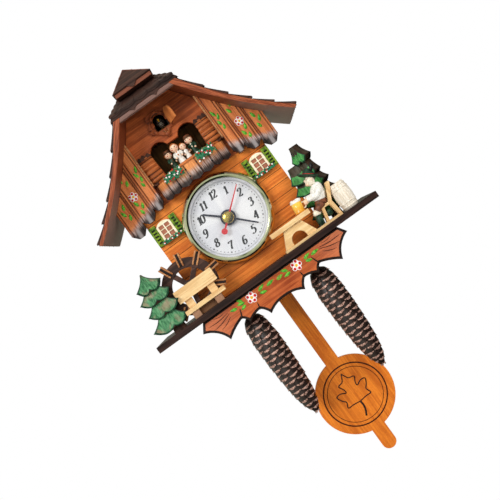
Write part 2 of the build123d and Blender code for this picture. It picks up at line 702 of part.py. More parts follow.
THIRD = polar(CENTRE, THIRD_DISTANCE, THIRD_TURN)
MOTION = polar(CENTRE, MOTION_DISTANCE, MOTION_TURN)
KNOB = polar(CENTRE, 2 * MOTION_DISTANCE, MOTION_TURN)


def pair_module(first, second, distance):
    return 2 * distance / (TEETH[first] + TEETH[second])


def meshed(driver, driven, distance, turn, y, driver_centre, driven_centre, bores=(0.0, 0.0)):
    """Two gears in mesh: a driver's tooth points at the driven gear's gap."""
    module = pair_module(driver, driven, distance)
    gap = 180.0 / TEETH[driven]
    first = gear(TEETH[driver], module, *y, driver_centre, turn, bores[0])
    second = gear(TEETH[driven], module, *y, driven_centre, turn + 180 + gap, bores[1])
    return first, second


def train():
    """The going train and motion work, by node name. The wheels lie in four planes along Y."""
    plane_c, plane_d, plane_e, plane_f = (-27.6, -28.6), (-30.0, -31.2), (-33.0, -34.2), (-35.2, -36.4)
    second_pinion, third_wheel = meshed("second_pinion", "third", THIRD_DISTANCE, THIRD_TURN, plane_c, CENTRE, THIRD)
    third_pinion, centre_wheel = meshed("third_pinion", "centre", THIRD_DISTANCE, THIRD_TURN + 180, plane_d,
                                        THIRD, CENTRE, (0.0, ARBOR_R + GAP))
    cannon, motion_wheel = meshed("cannon", "motion", MOTION_DISTANCE, MOTION_TURN, plane_e, CENTRE, MOTION,
                                  (ARBOR_R + GAP, 0.0))
    motion_pinion, hour_wheel = meshed("motion_pinion", "hour", MOTION_DISTANCE, MOTION_TURN + 180,
                                       plane_f, MOTION, CENTRE, (0.0, MINUTE_PIPE_R + GAP))
    minute_pipe = rod_y(*CENTRE, MINUTE_PIPE_R, -31.2, MINUTE_Y[0] - 0.4) - rod_y(*CENTRE, ARBOR_R + GAP, 0, -60)
    hour_pipe = rod_y(*CENTRE, HOUR_PIPE_R, -36.4, HOUR_Y[0]) - rod_y(*CENTRE, MINUTE_PIPE_R + GAP, 0, -60)
    knob_gear = gear(TEETH["knob_pinion"], pair_module("cannon", "motion", MOTION_DISTANCE), *plane_e, KNOB,
                     MOTION_TURN + 180)
    knob_arbor = rod_y(*KNOB, 0.6, -18.6, -36.2)
    return {
        "second_wheel": second_pinion + rod_y(*CENTRE, ARBOR_R, -22.4, SECOND_Y[1]),
        "third_wheel": third_wheel + third_pinion + rod_y(*THIRD, 0.5, -22.4, -36.6),
        "minute_wheel": centre_wheel + cannon + minute_pipe,
        "motion_wheel": motion_wheel + motion_pinion + rod_y(*MOTION, 0.5, -31.8, -36.6),
        "hour_wheel": hour_wheel + hour_pipe,
        "setting_knob": knob_gear + knob_arbor + setting_knob(),
    }


def movement_front_case():
    """The front half of the movement's shell, with the threaded stem that the pipes run in."""
    z = (DIAL_Z - MOVE_HALF, DIAL_Z + MOVE_HALF)
    case = block((-MOVE_HALF, MOVE_HALF), (MOVE_Y[1], MOVE_SPLIT), z)
    case -= block((-MOVE_HALF + WALL_THIN, MOVE_HALF - WALL_THIN), (MOVE_Y[1] + WALL_THIN, MOVE_SPLIT + 1),
                  (z[0] + WALL_THIN, z[1] - WALL_THIN))
    case += rod_y(*CENTRE, STEM_R - GAP, MOVE_Y[1] + 0.2, DIAL_Y - 0.5)
    case -= rod_y(*CENTRE, HOUR_PIPE_R + GAP, 0, -60)
    return case


def movement_rear_case():
    """The rear half of the shell; its lower part is a bay that takes the cell from behind."""
    z = (DIAL_Z - MOVE_HALF, DIAL_Z + MOVE_HALF)
    case = block((-MOVE_HALF, MOVE_HALF), (MOVE_SPLIT, MOVE_Y[0]), z)
    case -= block((-MOVE_HALF + WALL_THIN, MOVE_HALF - WALL_THIN), (MOVE_SPLIT - 1, MOVE_Y[0] - WALL_THIN),
                  (z[0] + WALL_THIN, z[1] - WALL_THIN))
    case -= block((-26.6, 26.6), (MOVE_SPLIT - 1, MOVE_Y[0] + 1), (BATTERY_Z - 7.6, BATTERY_Z + 7.6))
    case -= rod_y(*KNOB, 0.6 + GAP, 0, -60)
    return case + rod_y(0, PENDULUM_PIVOT_Z, 0.8, MOVE_Y[0] + 4.9, MOVE_Y[0])


def battery():
    """An AA cell lying across the bay, with its button to the right."""
    cell = Pos(-0.6, -28.6, BATTERY_Z) * Rot(0, 90, 0) * Cylinder(BATTERY_R, BATTERY_LEN - 1.2)
    button = Pos(24.4, -28.6, BATTERY_Z) * Rot(0, 90, 0) * Cylinder(2.7, 1.2)
    return cell + button


def battery_contacts():
    """Spring strip at the flat end and plate at the button end."""
    strips = [block((x, x + 0.5), (-35.6, -23.0), (BATTERY_Z - 5, BATTERY_Z + 5)) for x in (25.2, -26.2)]
    return strips


def drive_coil():
    """The stepper's wound bobbin on its iron stator."""
    x = -22.2
    core = block((x - 4, x + 4), (-36.8, -35.6), (-86.0, -56.0))
    bobbin = Pos(x, -32.0, -73.0) * Cylinder(3.6, 12)
    return [core, bobbin - core]


def setting_knob():
    """The ribbed knob behind the movement."""
    knob = rod_y(*KNOB, 5.2, -18.6, -20.7)
    for i in range(12):
        x, z = polar(KNOB, 5.3, i * 30)
        knob -= rod_y(x, z, 0.5, -18, -22)
    return knob


def pendulum_hanger():
    """The movement's swinging lever and the wire that carries the pendulum."""
    lever = rod_y(0, PENDULUM_PIVOT_Z, 2.6, -16.4, -20.6) - rod_y(0, PENDULUM_PIVOT_Z, 0.8 + GAP, -10, -30)
    wire = block((-1.0, 1.0), (-17.8, -17.1), (-124.0, PENDULUM_PIVOT_Z - 2.0))
    plate = block((-4.0, 4.0), (-17.8, -17.0), (-124.0, -112.0))
    return lever + wire + plate


def pendulum():
    """A wooden rod, disc bob and rounded tail, with turned rings round the bob."""
    y_back, y_front = PENDULUM_Y + PENDULUM_T / 2, PENDULUM_Y - PENDULUM_T / 2
    tail_end = -333.0
    shape = slab(outline((-ROD_HALF, BOB_Z), (ROD_HALF, BOB_Z), (ROD_HALF, -112.0), (-ROD_HALF, -112.0)),
                 y_back, y_front)
    shape += rod_y(0, BOB_Z, BOB_R, y_back, y_front)
    shape += slab(outline((-ROD_HALF, tail_end + ROD_HALF), (ROD_HALF, tail_end + ROD_HALF), (ROD_HALF, BOB_Z),
                          (-ROD_HALF, BOB_Z)), y_back, y_front)
    shape += rod_y(0, tail_end + ROD_HALF, ROD_HALF, y_back, y_front)
    for radius, width in ((29.7, 1.3), (25.8, 0.6)):
        shape -= rod_y(0, BOB_Z, radius, y_front + 0.6, y_front - 1) - rod_y(0, BOB_Z, radius - width, 0, -30)
    return shape


# ---- bird -----------------------------------------------------------------------------------
CARRIAGE_Y = (-38.0, -20.2)
CARRIAGE_Z = (16.2, 18.2)


def cuckoo_bird():
    """A bird on a carriage that slides in the guide."""
    body = Pos(0, -37.0, 23.8) * Rot(65, 0, 0) * egg(3.7, 5.2)
    head = Pos(0, -40.4, 26.2) * Sphere(2.5)
    beak = Pos(0, -43.6, 26.2) * Rot(90, 0, 0) * Cone(1.0, 0.2, 3.0)
    legs = rod_z(-1.2, -37.0, 0.5, CARRIAGE_Z[1] - 0.5, 22.0) + rod_z(1.2, -37.0, 0.5, CARRIAGE_Z[1] - 0.5, 22.0)
    return body + head + beak + legs + bird_carriage()


def bird_carriage():
    return block((-3.0, 3.0), CARRIAGE_Y, CARRIAGE_Z)


def bird_guide():
    """A channel for the carriage, fixed to the front wall and to the board behind the stage."""
    y = (FRONT_IN, -12.0)
    channel = block((-5.4, 5.4), y, (13.4, CARRIAGE_Z[1] + SLIP + 0.7))
    channel -= block((-3.0 - SLIP, 3.0 + SLIP), (-41, -11), (CARRIAGE_Z[0] - 0.1, CARRIAGE_Z[1] + SLIP))
    channel -= block((-2.2, 2.2), (-41, -11), (CARRIAGE_Z[0], 30))
    backdrop = block((-27, 27), (-19.4, -17.9), (STAGE_FLOOR - 1.5, 13.4))
    return [channel, backdrop]


def gear_motors():
    """Two small geared motors: one turns the stage, one drives the bird's carriage."""
    bird = block((5.4, 15.4), (-36.0, -24.0), (13.4, 24.0))
    stage = block((-6, 6), (FRONT_IN, STAGE_Y + 5), (-42.0, STAGE_FLOOR - 0.5))
    stage -= rod_z(0, STAGE_Y, 1.5 + GAP, -34, 0)
    return [bird, stage]


def cuckoo_door():
    """The arched door, standing open 120 degrees on the right of the doorway."""
    x, y = BIRD_DOOR_HINGE
    leaf = slab(Pos(-6.8, BIRD_Z - 7) * arch(12.0, 13.8), 0.75, -0.75)
    leaf += rod_z(0, 0, 0.9, BIRD_Z - 7, BIRD_Z + 1.4)
    leaf += block((-1.6, 0), (-0.75, 0.75), (BIRD_Z - 7, BIRD_Z + 1.4))
    leaf -= rod_z(0, 0, 0.5 + GAP, BIRD_Z - 20, BIRD_Z + 20)
    return Pos(x, y, 0) * Rot(0, 0, 120) * leaf


def door_pin():
    """The wire that the bird's door turns on, bent into the surround at both ends."""
    x, y = BIRD_DOOR_HINGE
    pin = rod_z(x, y, 0.5, BIRD_Z - 9.2, BIRD_Z + 3.6)
    for z in (BIRD_Z - 8.9, BIRD_Z + 3.3):
        pin += block((x - 0.4, x + 0.4), (y, FRONT_Y - 2.0), (z - 0.3, z + 0.3))
    return pin


# ---- dancers' stage -----------------------------------------------------------------------------
def turntable():
    disc = rod_z(0, STAGE_Y, STAGE_R, STAGE_Z - 2.0, STAGE_Z)
    return disc + rod_z(0, STAGE_Y, 1.5, -33.0, STAGE_Z - 1.0)


DANCERS = [(-10.2, -5.4), (-3.4, -9.6), (2.8, -4.4), (10.4, -5.0)]   # x, y from the stage's axis


def dancers():
    """Four little figures: skirt or coat, and a round head."""
    figures = []
    for x, y in DANCERS:
        place = Pos(x, STAGE_Y + y, STAGE_Z)
        figures.append(place * (Pos(0, 0, 6.5) * Cone(2.9, 1.9, 13.0) + Pos(0, 0, 15.6) * Sphere(3.0)))
    return figures


# ---- water wheel, cones, sound ----------------------------------------------------------------------
WHEEL_R = 24.8
WHEEL_SPOKE_TURN = 44.0
SPOKES = 5
PADDLES = 10
PADDLE_TURN = 8.0
PADDLE_TIP = 30.2


def water_wheel():
    """A broad rim, five spokes, a hub and ten paddle boards."""
    x, z = WHEEL_AXIS
    y_back, y_front = WHEEL_Y[1] - 1.4, WHEEL_Y[0] + 1.4
    shape = rod_y(x, z, WHEEL_R, y_back, y_front) - rod_y(x, z, 16.0, 0, -90)
    shape += rod_y(x, z, 5.8, y_back, y_front)
    for i in range(SPOKES):
        turn = WHEEL_SPOKE_TURN + i * 360 / SPOKES
        shape += Pos(x, 0, z) * Rot(0, -turn, 0) * block((4, 18), (y_front + 0.5, y_back - 0.5), (-2.2, 2.2))
    for i in range(PADDLES):
        turn = PADDLE_TURN + i * 360 / PADDLES
        board = block((18.4, PADDLE_TIP), (WHEEL_Y[0], WHEEL_Y[1]), (-2.2, 2.2))
        shape += Pos(x, 0, z) * Rot(0, -turn, 0) * board
    return shape - rod_y(x, z, 1.2 + GAP, 0, -90)


def wheel_axle():
    x, z = WHEEL_AXIS
    return rod_y(x, z, 1.2, FRONT_Y + 3.0, -61.4) + rod_y(x, z, 2.4, -61.4, -62.3)


def eye_ring(x, y, z, turn=0):
    """A wire ring standing in the X-Z plane, or turned about Z."""
    return Pos(x, y, z) * Rot(0, 0, turn) * Rot(90, 0, 0) * Torus(EYE_R, EYE_WIRE)


CONE_EYE_Z = HOOK_Z - 2 * EYE_R + 2 * EYE_WIRE + 0.02


def cone_hooks():
    hooks = []
    for side in (-1, 1):
        x = side * CONE_X
        stem = rod_z(x, CONE_Y, 0.7, HOOK_Z + EYE_R, SHELF_BOTTOM + 3.5)
        hooks.append(eye_ring(x, CONE_Y, HOOK_Z) + stem)
    return hooks


CONE_PROFILE = [(3.0, -157.6), (8.6, -160.4), (11.6, -168.0), (13.0, -182.0), (13.1, -200.0), (12.2, -222.0),
                (10.4, -240.0), (7.6, -252.0), (3.2, -259.4)]


def cone(side):
    """A fir cone weight on a screw eye."""
    bottom = (0, -260.6)
    curve = Spline(*[(r, z) for r, z in CONE_PROFILE], bottom)
    face = make_face(curve + Polyline(bottom, (0, CONE_PROFILE[0][1]), CONE_PROFILE[0]))
    body = Pos(side * CONE_X, CONE_Y, 0) * revolve(Plane.XZ * face, Axis.Z)
    stem = rod_z(side * CONE_X, CONE_Y, 0.7, -158.6, CONE_EYE_Z - EYE_R)
    return body + stem + eye_ring(side * CONE_X, CONE_Y, CONE_EYE_Z, 90)


SOUND_X = (32.0, HOUSE_HALF - WALL)
SOUND_Y = (-37.0, -12.0)
SOUND_Z = (SHELF_TOP, -86.0)


def sound_unit():
    """The call's sound box and its loudspeaker, facing the grille in the right wall."""
    box = block(SOUND_X, SOUND_Y, SOUND_Z)
    box -= block((SOUND_X[0] + 1.5, SOUND_X[1] - 1.5), (SOUND_Y[0] + 1.5, SOUND_Y[1] - 1.5),
                 (SOUND_Z[0] + 1.5, SOUND_Z[1] - 1.5))
    hole = Pos(SOUND_X[1], -24.0, -99.0) * Rot(0, 90, 0) * Cylinder(9.2, 8)
    slot = block((SOUND_X[1] - 4, SOUND_X[1] + 4), (SWITCH_Y - 4.5, SWITCH_Y + 4.5), (SWITCH_Z - 1.6, SWITCH_Z + 1.6))
    speaker = Pos(SOUND_X[1] - 3.0, -24.0, -99.0) * Rot(0, 90, 0) * (Cone(4.0, 9.0, 5.0) + Pos(0, 0, -3.5) * Cylinder(5, 4))
    return [box - hole - slot, speaker]


def volume_switch():
    """A slide switch whose thumb piece comes out through the right wall."""
    thumb = block((54.0, 64.4), (SWITCH_Y - 1.5, SWITCH_Y + 1.5), (SWITCH_Z - 1.3, SWITCH_Z + 1.3))
    return thumb


def screws():
    """Four hanger plate screws, with countersunk ends flush in the plate."""
    return [rod_y(x, z, 1.0, 0, -6.0) for x, z in plate_screws()]


# ---- write the nodes ----------------------------------------------------------------------------
def main():
    right_panel = roof_panel()
    right_shingles = shingles()
    nodes = {
        "back_panel": [back_panel()],
        "side_walls": side_walls(),
        "front_wall": [front_wall()],
        "gable_front": [gable_front()],
        "shelf": [shelf()],
        "roof_panel_left": [mirror(right_panel, Plane.YZ)],
        "roof_panel_right": [right_panel],
        "roof_shingles": [s for row in right_shingles for s in both_sides(row)],
        "hip_roof": hip_roof(),
        "ridge_cap": [ridge_cap(), ridge_block()],
        "siding_boards": siding_boards(),
        "balcony": [*balcony_rail(), balcony_floor()],
        "flower_boxes": flower_boxes(),
        "gable_shutters": gable_shutters(),
        "window_frames": both_sides(window_frame()),
        "window_shutters": window_shutters(),
        "cuckoo_frame": [cuckoo_frame() + door_pin()],
        "cuckoo_door": [cuckoo_door()],
        "apron_board": [apron_board()],
        "bench": bench(),
        "table": table(),
        "chair": chair(),
        "beer_drinker": beer_drinker(),
        "barrel": [barrel()],
        "tree_left": [tree_left()],
        "tree_right": [tree_right()],
        "bezel": [bezel()],
        "dial": [dial(), dial_cup()],
        "lens": [lens()],
        "hour_hand": [hand(22.3, 2.3, HOUR_Y, HUB_R, HOUR_PIPE_R, HOUR_ANGLE)],
        "minute_hand": [hand(26.6, 2.0, MINUTE_Y, HUB_R, MINUTE_PIPE_R, MINUTE_ANGLE)],
        "second_hand": [second_hand()],
        "movement_front_case": [movement_front_case()],
        "movement_rear_case": [movement_rear_case()],
        "battery": [battery()],
        "battery_contacts": battery_contacts(),
        "drive_coil": drive_coil(),
        "pendulum_hanger": [pendulum_hanger()],
        "pendulum": [pendulum()],
        "cuckoo_bird": [cuckoo_bird()],
        "bird_guide": [bird_guide()],
        "gear_motors": gear_motors(),
        "turntable": [turntable()],
        "dancers": dancers(),
        "water_wheel": [water_wheel()],
        "wheel_axle": [wheel_axle()],
        "cone_hooks": cone_hooks(),
        "cone_left": [cone(-1)],
        "cone_right": [cone(1)],
        "rear_door": [rear_door()],
        "hanger_plate": [hanger_plate()],
        "sound_unit": sound_unit(),
        "volume_switch": [volume_switch()],
        "plate_screws": screws(),
    }
    nodes.update({name: [shape] for name, shape in train().items()})
    for name, shapes in nodes.items():
        save(name, *shapes)


main()
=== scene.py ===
"""The looks of the wooden cuckoo clock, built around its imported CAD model."""

import random
from math import atan2, cos, hypot, pi, radians, sin, sqrt, tan

import bmesh
import bpy
from mathutils import Matrix, Vector, noise


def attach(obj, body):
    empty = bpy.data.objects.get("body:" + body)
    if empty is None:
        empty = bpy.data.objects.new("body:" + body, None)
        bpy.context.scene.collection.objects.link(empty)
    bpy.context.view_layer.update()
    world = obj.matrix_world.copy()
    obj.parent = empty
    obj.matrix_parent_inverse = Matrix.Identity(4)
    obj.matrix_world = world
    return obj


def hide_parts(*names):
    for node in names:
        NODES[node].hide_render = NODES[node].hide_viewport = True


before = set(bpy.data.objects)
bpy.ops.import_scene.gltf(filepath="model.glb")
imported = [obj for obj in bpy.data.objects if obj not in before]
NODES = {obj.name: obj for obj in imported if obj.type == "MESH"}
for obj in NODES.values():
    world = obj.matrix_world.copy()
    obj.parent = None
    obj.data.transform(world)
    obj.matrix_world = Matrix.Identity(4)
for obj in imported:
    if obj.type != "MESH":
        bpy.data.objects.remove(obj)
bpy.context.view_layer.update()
MM = 0.001

# Places in the clock's frame, in millimetres.
DIAL_Z = -78.0
NUMERAL_R = 23.9         # ring of the numerals
DOTS_R = 30.2            # ring of the minute dots
SHELF_TOP = -132.5
APRON_FRONT = -70.0
APRON_BACK = -64.0
APRON_BORDER = 2.3       # width of the scorched edge
WHEEL_AXIS = (-59.5, -107.4)
CONE_X = 35.3
CONE_Y = -40.0
LEAF_Z = -272.0          # middle of the leaf on the bob
BOB_FRONT = -17.0


# ---- materials ----------------------------------------------------------------------------
def srgb(r, g, b):
    """A display colour, 0 to 255, as the linear colour that a shader wants."""
    linear = [(c / 255 / 12.92) if c / 255 <= 0.04045 else ((c / 255 + 0.055) / 1.055) ** 2.4
              for c in (r, g, b)]
    return (*linear, 1.0)


class Look:
    """A Principled material, built node by node. Coordinates are the row frame's, in millimetres."""

    def __init__(self, name, rough=0.5, metallic=0.0, coat=0.0, specular=0.5):
        self.material = bpy.data.materials.new(name)
        self.material.use_nodes = True
        self.tree = self.material.node_tree
        self.shader = self.tree.nodes["Principled BSDF"]
        self.shader.inputs["Roughness"].default_value = rough
        self.shader.inputs["Metallic"].default_value = metallic
        self.shader.inputs["Coat Weight"].default_value = coat
        self.shader.inputs["Coat Roughness"].default_value = 0.25
        self.shader.inputs["Specular IOR Level"].default_value = specular
        self.position = self.new("ShaderNodeTexCoord").outputs["Object"]

    def new(self, kind, **settings):
        node = self.tree.nodes.new(kind)
        for key, value in settings.items():
            setattr(node, key, value)
        return node

    def put(self, socket, value):
        if isinstance(value, bpy.types.NodeSocket):
            self.tree.links.new(value, socket)
        else:
            socket.default_value = value

    def scaled(self, *scale):
        """The position in millimetres, times a scale for each axis."""
        node = self.new("ShaderNodeMapping")
        self.put(node.inputs["Vector"], self.position)
        node.inputs["Scale"].default_value = [1000 * s for s in scale]
        return node.outputs["Vector"]

    def noise(self, vector, scale=1.0, detail=3.0, rough=0.5, bend=0.0):
        node = self.new("ShaderNodeTexNoise")
        self.put(node.inputs["Vector"], vector)
        node.inputs["Scale"].default_value = scale
        node.inputs["Detail"].default_value = detail
        node.inputs["Roughness"].default_value = rough
        node.inputs["Distortion"].default_value = bend
        return node.outputs["Fac"]

    def math(self, kind, a, b=0.0, clamp=False):
        node = self.new("ShaderNodeMath", operation=kind, use_clamp=clamp)
        self.put(node.inputs[0], a)
        self.put(node.inputs[1], b)
        return node.outputs[0]

    def times(self, a, b):
        return self.math("MULTIPLY", a, b)

    def plus(self, a, b):
        return self.math("ADD", a, b)

    def minus(self, a, b):
        return self.math("SUBTRACT", a, b)

    def size(self, a):
        return self.math("ABSOLUTE", a)

    def axis(self, letter):
        """One coordinate, in millimetres."""
        node = self.new("ShaderNodeSeparateXYZ")
        self.put(node.inputs[0], self.position)
        return self.math("MULTIPLY", node.outputs[letter], 1000.0)

    def fade(self, value, start, end):
        """0 at start, 1 at end, smooth between."""
        node = self.new("ShaderNodeMapRange", interpolation_type="SMOOTHSTEP")
        self.put(node.inputs["Value"], value)
        node.inputs["From Min"].default_value = min(start, end)
        node.inputs["From Max"].default_value = max(start, end)
        node.inputs["To Min"].default_value = 0.0 if start < end else 1.0
        node.inputs["To Max"].default_value = 1.0 if start < end else 0.0
        return node.outputs["Result"]

    def mix(self, factor, a, b, kind="MIX"):
        node = self.new("ShaderNodeMix", data_type="RGBA", blend_type=kind)
        self.put(node.inputs[0], factor)
        self.put(node.inputs[6], a)
        self.put(node.inputs[7], b)
        return node.outputs[2]

    def colour(self, value):
        self.put(self.shader.inputs["Base Color"], value)

    def rough(self, value):
        self.put(self.shader.inputs["Roughness"], value)

    def metal(self, value):
        self.put(self.shader.inputs["Metallic"], value)

    def bump(self, height, distance_mm=0.1, strength=1.0):
        node = self.new("ShaderNodeBump")
        node.inputs["Strength"].default_value = strength
        node.inputs["Distance"].default_value = distance_mm * MM
        self.put(node.inputs["Height"], height)
        self.put(self.shader.inputs["Normal"], node.outputs["Normal"])


def grain_scales(grain, along, across):
    return [along if letter == grain else across for letter in "XYZ"]


def wood_look(name, light, dark, grain="Z", rough=0.42, coat=0.25, figure=1.0, worn=0.25):
    """Stained timber: broad figure, fine streaks and pores, all drawn out along the grain."""
    look = Look(name, rough, coat=coat * 0.3, specular=0.2)
    figure_fac = look.noise(look.scaled(*grain_scales(grain, 0.02, 0.35)), 1.0, 5.0, 0.6, 0.6)
    streak = look.noise(look.scaled(*grain_scales(grain, 0.06, 1.7)), 1.0, 4.0, 0.65, 0.2)
    pores = look.noise(look.scaled(*grain_scales(grain, 0.35, 5.0)), 1.0, 2.0, 0.5)
    cloud = look.noise(look.scaled(1, 1, 1), 0.045, 2.0)
    base = look.mix(look.fade(figure_fac, 0.62, 0.38), light, dark)
    base = look.mix(look.times(look.fade(streak, 0.56, 0.36), 0.45 * figure), base, dark)
    base = look.mix(look.times(look.fade(pores, 0.44, 0.30), 0.5), base,
                    tuple(c * 0.35 for c in dark[:3]) + (1.0,))
    base = look.mix(look.times(look.fade(cloud, 0.35, 0.7), worn), base,
                    tuple(min(1.0, c * 1.35) for c in light[:3]) + (1.0,))
    look.rough(look.plus(look.times(streak, 0.25), rough - 0.12))
    look.bump(look.plus(look.times(pores, 0.6), look.times(streak, 0.5)), 0.12, 0.55)
    look.base = base
    look.colour(base)
    return look


def paint_look(name, tint, shade, rough=0.5, scale=0.5, coat=0.1, bump=0.25):
    """Brushed-on paint with thin and thick places."""
    look = Look(name, rough, coat=coat * 0.5, specular=0.3)
    patch = look.noise(look.scaled(1, 1, 1), scale, 4.0, 0.6, 0.4)
    brush = look.noise(look.scaled(1.5, 1.5, 0.5), 2.2, 3.0, 0.6)
    look.base = look.mix(look.fade(patch, 0.38, 0.62), shade, tint)
    look.base = look.mix(look.times(look.fade(brush, 0.5, 0.25), 0.25), look.base, shade)
    look.colour(look.base)
    look.rough(look.plus(look.times(patch, 0.2), rough - 0.1))
    look.bump(look.plus(patch, look.times(brush, 0.5)), 0.12, bump)
    return look


def plastic_look(name, tint, rough=0.4):
    """Moulded plastic with a fine spark-eroded grain."""
    look = Look(name, rough)
    fine = look.noise(look.scaled(1, 1, 1), 6.0, 2.0)
    broad = look.noise(look.scaled(1, 1, 1), 0.12, 2.0)
    look.colour(look.mix(broad, tint, tuple(c * 0.8 for c in tint[:3]) + (1.0,)))
    look.rough(look.plus(look.times(fine, 0.15), rough - 0.05))
    look.bump(fine, 0.03, 0.5)
    return look


def metal_look(name, tint, rough=0.25, grain=(1, 1, 1), spread=0.15):
    """Plated or brushed metal with fine drawn lines."""
    look = Look(name, rough, metallic=1.0)
    lines = look.noise(look.scaled(*grain), 3.0, 3.0, 0.6)
    tarnish = look.noise(look.scaled(1, 1, 1), 0.2, 3.0)
    look.colour(look.mix(look.fade(tarnish, 0.4, 0.8), tint, tuple(c * 0.8 for c in tint[:3]) + (1.0,)))
    look.rough(look.plus(look.times(lines, spread), rough - spread / 2))
    look.bump(lines, 0.01, 0.4)
    return look


# short name: material name, light and dark tints, grain axis, roughness, coat, figure, wear
WOODS = {
    "side": ("side_wall", (196, 104, 44), (150, 70, 28), "Z", 0.42, 0.25),
    "gable": ("gable_brown", (196, 102, 52), (132, 60, 28), "X", 0.42, 0.2),
    "pine": ("pine", (238, 204, 152), (212, 168, 112), "X", 0.5, 0.1, 0.8, 0.3),
    "pine_up": ("pine_upright", (232, 198, 146), (206, 160, 104), "Z", 0.5, 0.1, 0.8, 0.3),
    "ply": ("plywood", (196, 154, 104), (160, 116, 70), "Z", 0.65, 0.0, 0.9, 0.2),
    "shelf": ("shelf_dark", (56, 35, 29), (30, 18, 16), "X", 0.5, 0.0, 0.6, 0.05),
    "fascia": ("fascia", (150, 100, 84), (104, 58, 46), "X", 0.4, 0.3),
    "burnt": ("burnt_edge", (50, 36, 32), (26, 18, 17), "X", 0.5, 0.1, 0.5, 0.05),
    "carved": ("carved_brown", (196, 112, 58), (122, 60, 28), "X", 0.45, 0.2),
    "door_leaf": ("door_leaf", (214, 130, 70), (150, 78, 38), "Z", 0.45, 0.2),
    "frame": ("frame_brown", (158, 80, 42), (96, 44, 24), "X", 0.45, 0.2),
    "dark_carved": ("carved_dark", (84, 46, 28), (38, 22, 16), "Z", 0.45, 0.2),
    "wheel": ("wheel_dark", (84, 58, 48), (48, 32, 28), "X", 0.45, 0.2),
    "wheel_edge": ("wheel_edge", (206, 148, 96), (150, 94, 56), "X", 0.45, 0.2),
    "bark": ("bark", (70, 44, 32), (34, 22, 18), "Z", 0.55, 0.1),
    "hollow": ("doorway_dark", (30, 22, 18), (14, 10, 9), "Z", 0.8, 0.0, 0.6, 0.0),
    "backdrop": ("inside_dark", (120, 88, 50), (84, 60, 32), "Z", 0.8, 0.0),
}

# short name: material name, tint, shade, roughness, scale of the patches
PAINTS = {
    "green": ("leaf_green", (118, 194, 56), (56, 142, 44), 0.35),
    "box_green": ("box_green", (64, 150, 106), (24, 92, 58), 0.45),
    "lime": ("lime_leaf", (150, 176, 60), (96, 132, 40), 0.4),
    "red": ("petal_red", (206, 34, 34), (168, 16, 24), 0.4),
    "white": ("petal_white", (250, 246, 242), (232, 214, 208), 0.45),
    "yellow": ("yellow", (246, 200, 40), (224, 160, 24), 0.4),
    "cream": ("cream", (244, 234, 214), (222, 206, 178), 0.5),
    "skin": ("figure_skin", (252, 222, 192), (240, 196, 160), 0.5),
    "coat": ("coat_green", (40, 74, 52), (20, 42, 32), 0.5),
    "brown": ("figure_brown", (124, 72, 46), (76, 42, 28), 0.5),
    "hair": ("hair_orange", (216, 126, 54), (170, 88, 36), 0.5),
    "black": ("black_paint", (34, 30, 30), (16, 14, 15), 0.4),
    "eye": ("eye_dark", (28, 22, 20), (10, 8, 8), 0.25),
    "shirt": ("shirt_white", (246, 244, 236), (220, 216, 204), 0.55),
    "foam": ("foam", (252, 250, 244), (236, 228, 212), 0.6, 1.2),
    "tree_rim": ("tree_rim", (40, 84, 56), (20, 48, 34), 0.5),
    "bird": ("bird_dark", (84, 80, 72), (38, 34, 32), 0.5),
}


def make_looks():
    """Every material, by a short name."""
    looks = {key: wood_look(name, srgb(*light), srgb(*dark), *more)
             for key, (name, light, dark, *more) in WOODS.items()}
    looks |= {key: paint_look(name, srgb(*tint), srgb(*shade), *more)
              for key, (name, tint, shade, *more) in PAINTS.items()}
    looks["wall"] = planked_look()
    looks["pendulum"] = pendulum_look()
    looks["siding"] = burnt_look("siding_burnt", srgb(216, 132, 76), srgb(166, 84, 42), siding_depth,
                                 siding_flutes, siding_middle)
    looks["balcony"] = burnt_look("balcony_burnt", srgb(236, 158, 94), srgb(190, 106, 56), balcony_depth,
                                  balcony_joints)
    looks["roof"] = roof_look()
    looks["shingle"] = shingle_look()
    looks["apron"] = apron_look("apron", srgb(190, 98, 50), srgb(140, 58, 26), "X", 0.38, 0.3, 1.0, 0.3)
    looks["beer"] = beer_look()
    looks["barrel"] = barrel_look()
    looks["tree"] = tree_look("tree_green", srgb(98, 156, 108), srgb(36, 92, 58), srgb(176, 138, 118))
    looks["tree_dark"] = tree_look("tree_dark", srgb(84, 78, 60), srgb(50, 44, 36), srgb(60, 44, 34))
    looks["tree_low"] = tree_look("tree_low", srgb(96, 176, 92), srgb(44, 112, 58), srgb(58, 84, 50))
    looks["tree_flank"] = tree_look("tree_flank", srgb(58, 40, 30), srgb(36, 24, 19), srgb(70, 50, 36))
    looks["cone"] = cone_look()
    looks["cone_lip_highlight"] = copper_look()
    looks["gold"] = metal_look("gold_rim", srgb(232, 232, 204), 0.12, (0.1, 0.1, 0.1), 0.04)
    looks["dial"] = dial_look()
    looks["ink"] = plastic_look("dial_ink", srgb(24, 24, 28), 0.5)
    looks["navy"] = plastic_look("hand_navy", srgb(22, 24, 44), 0.35)
    looks["navy"].shader.inputs["Specular IOR Level"].default_value = 0.12
    looks["second"] = second_look()
    looks["plastic"] = plastic_look("movement_black", srgb(36, 36, 38), 0.45)
    looks["white_plastic"] = plastic_look("white_plastic", srgb(226, 226, 220), 0.4)
    looks["steel"] = metal_look("zinc_steel", srgb(190, 192, 196), 0.32, (0.4, 3, 0.4))
    looks["wire"] = metal_look("brass_wire", srgb(196, 158, 84), 0.28)
    looks["copper"] = metal_look("coil_copper", srgb(190, 104, 62), 0.3, (0.2, 0.2, 4))
    looks["battery"] = battery_look()
    looks["window"] = window_look()
    looks["shutter"] = shutter_look()
    looks["hip"] = hip_look()
    looks["glass"] = glass_look()
    looks["bird_belly"] = bird_belly_look()
    looks["bench"] = bench_look()
    return looks


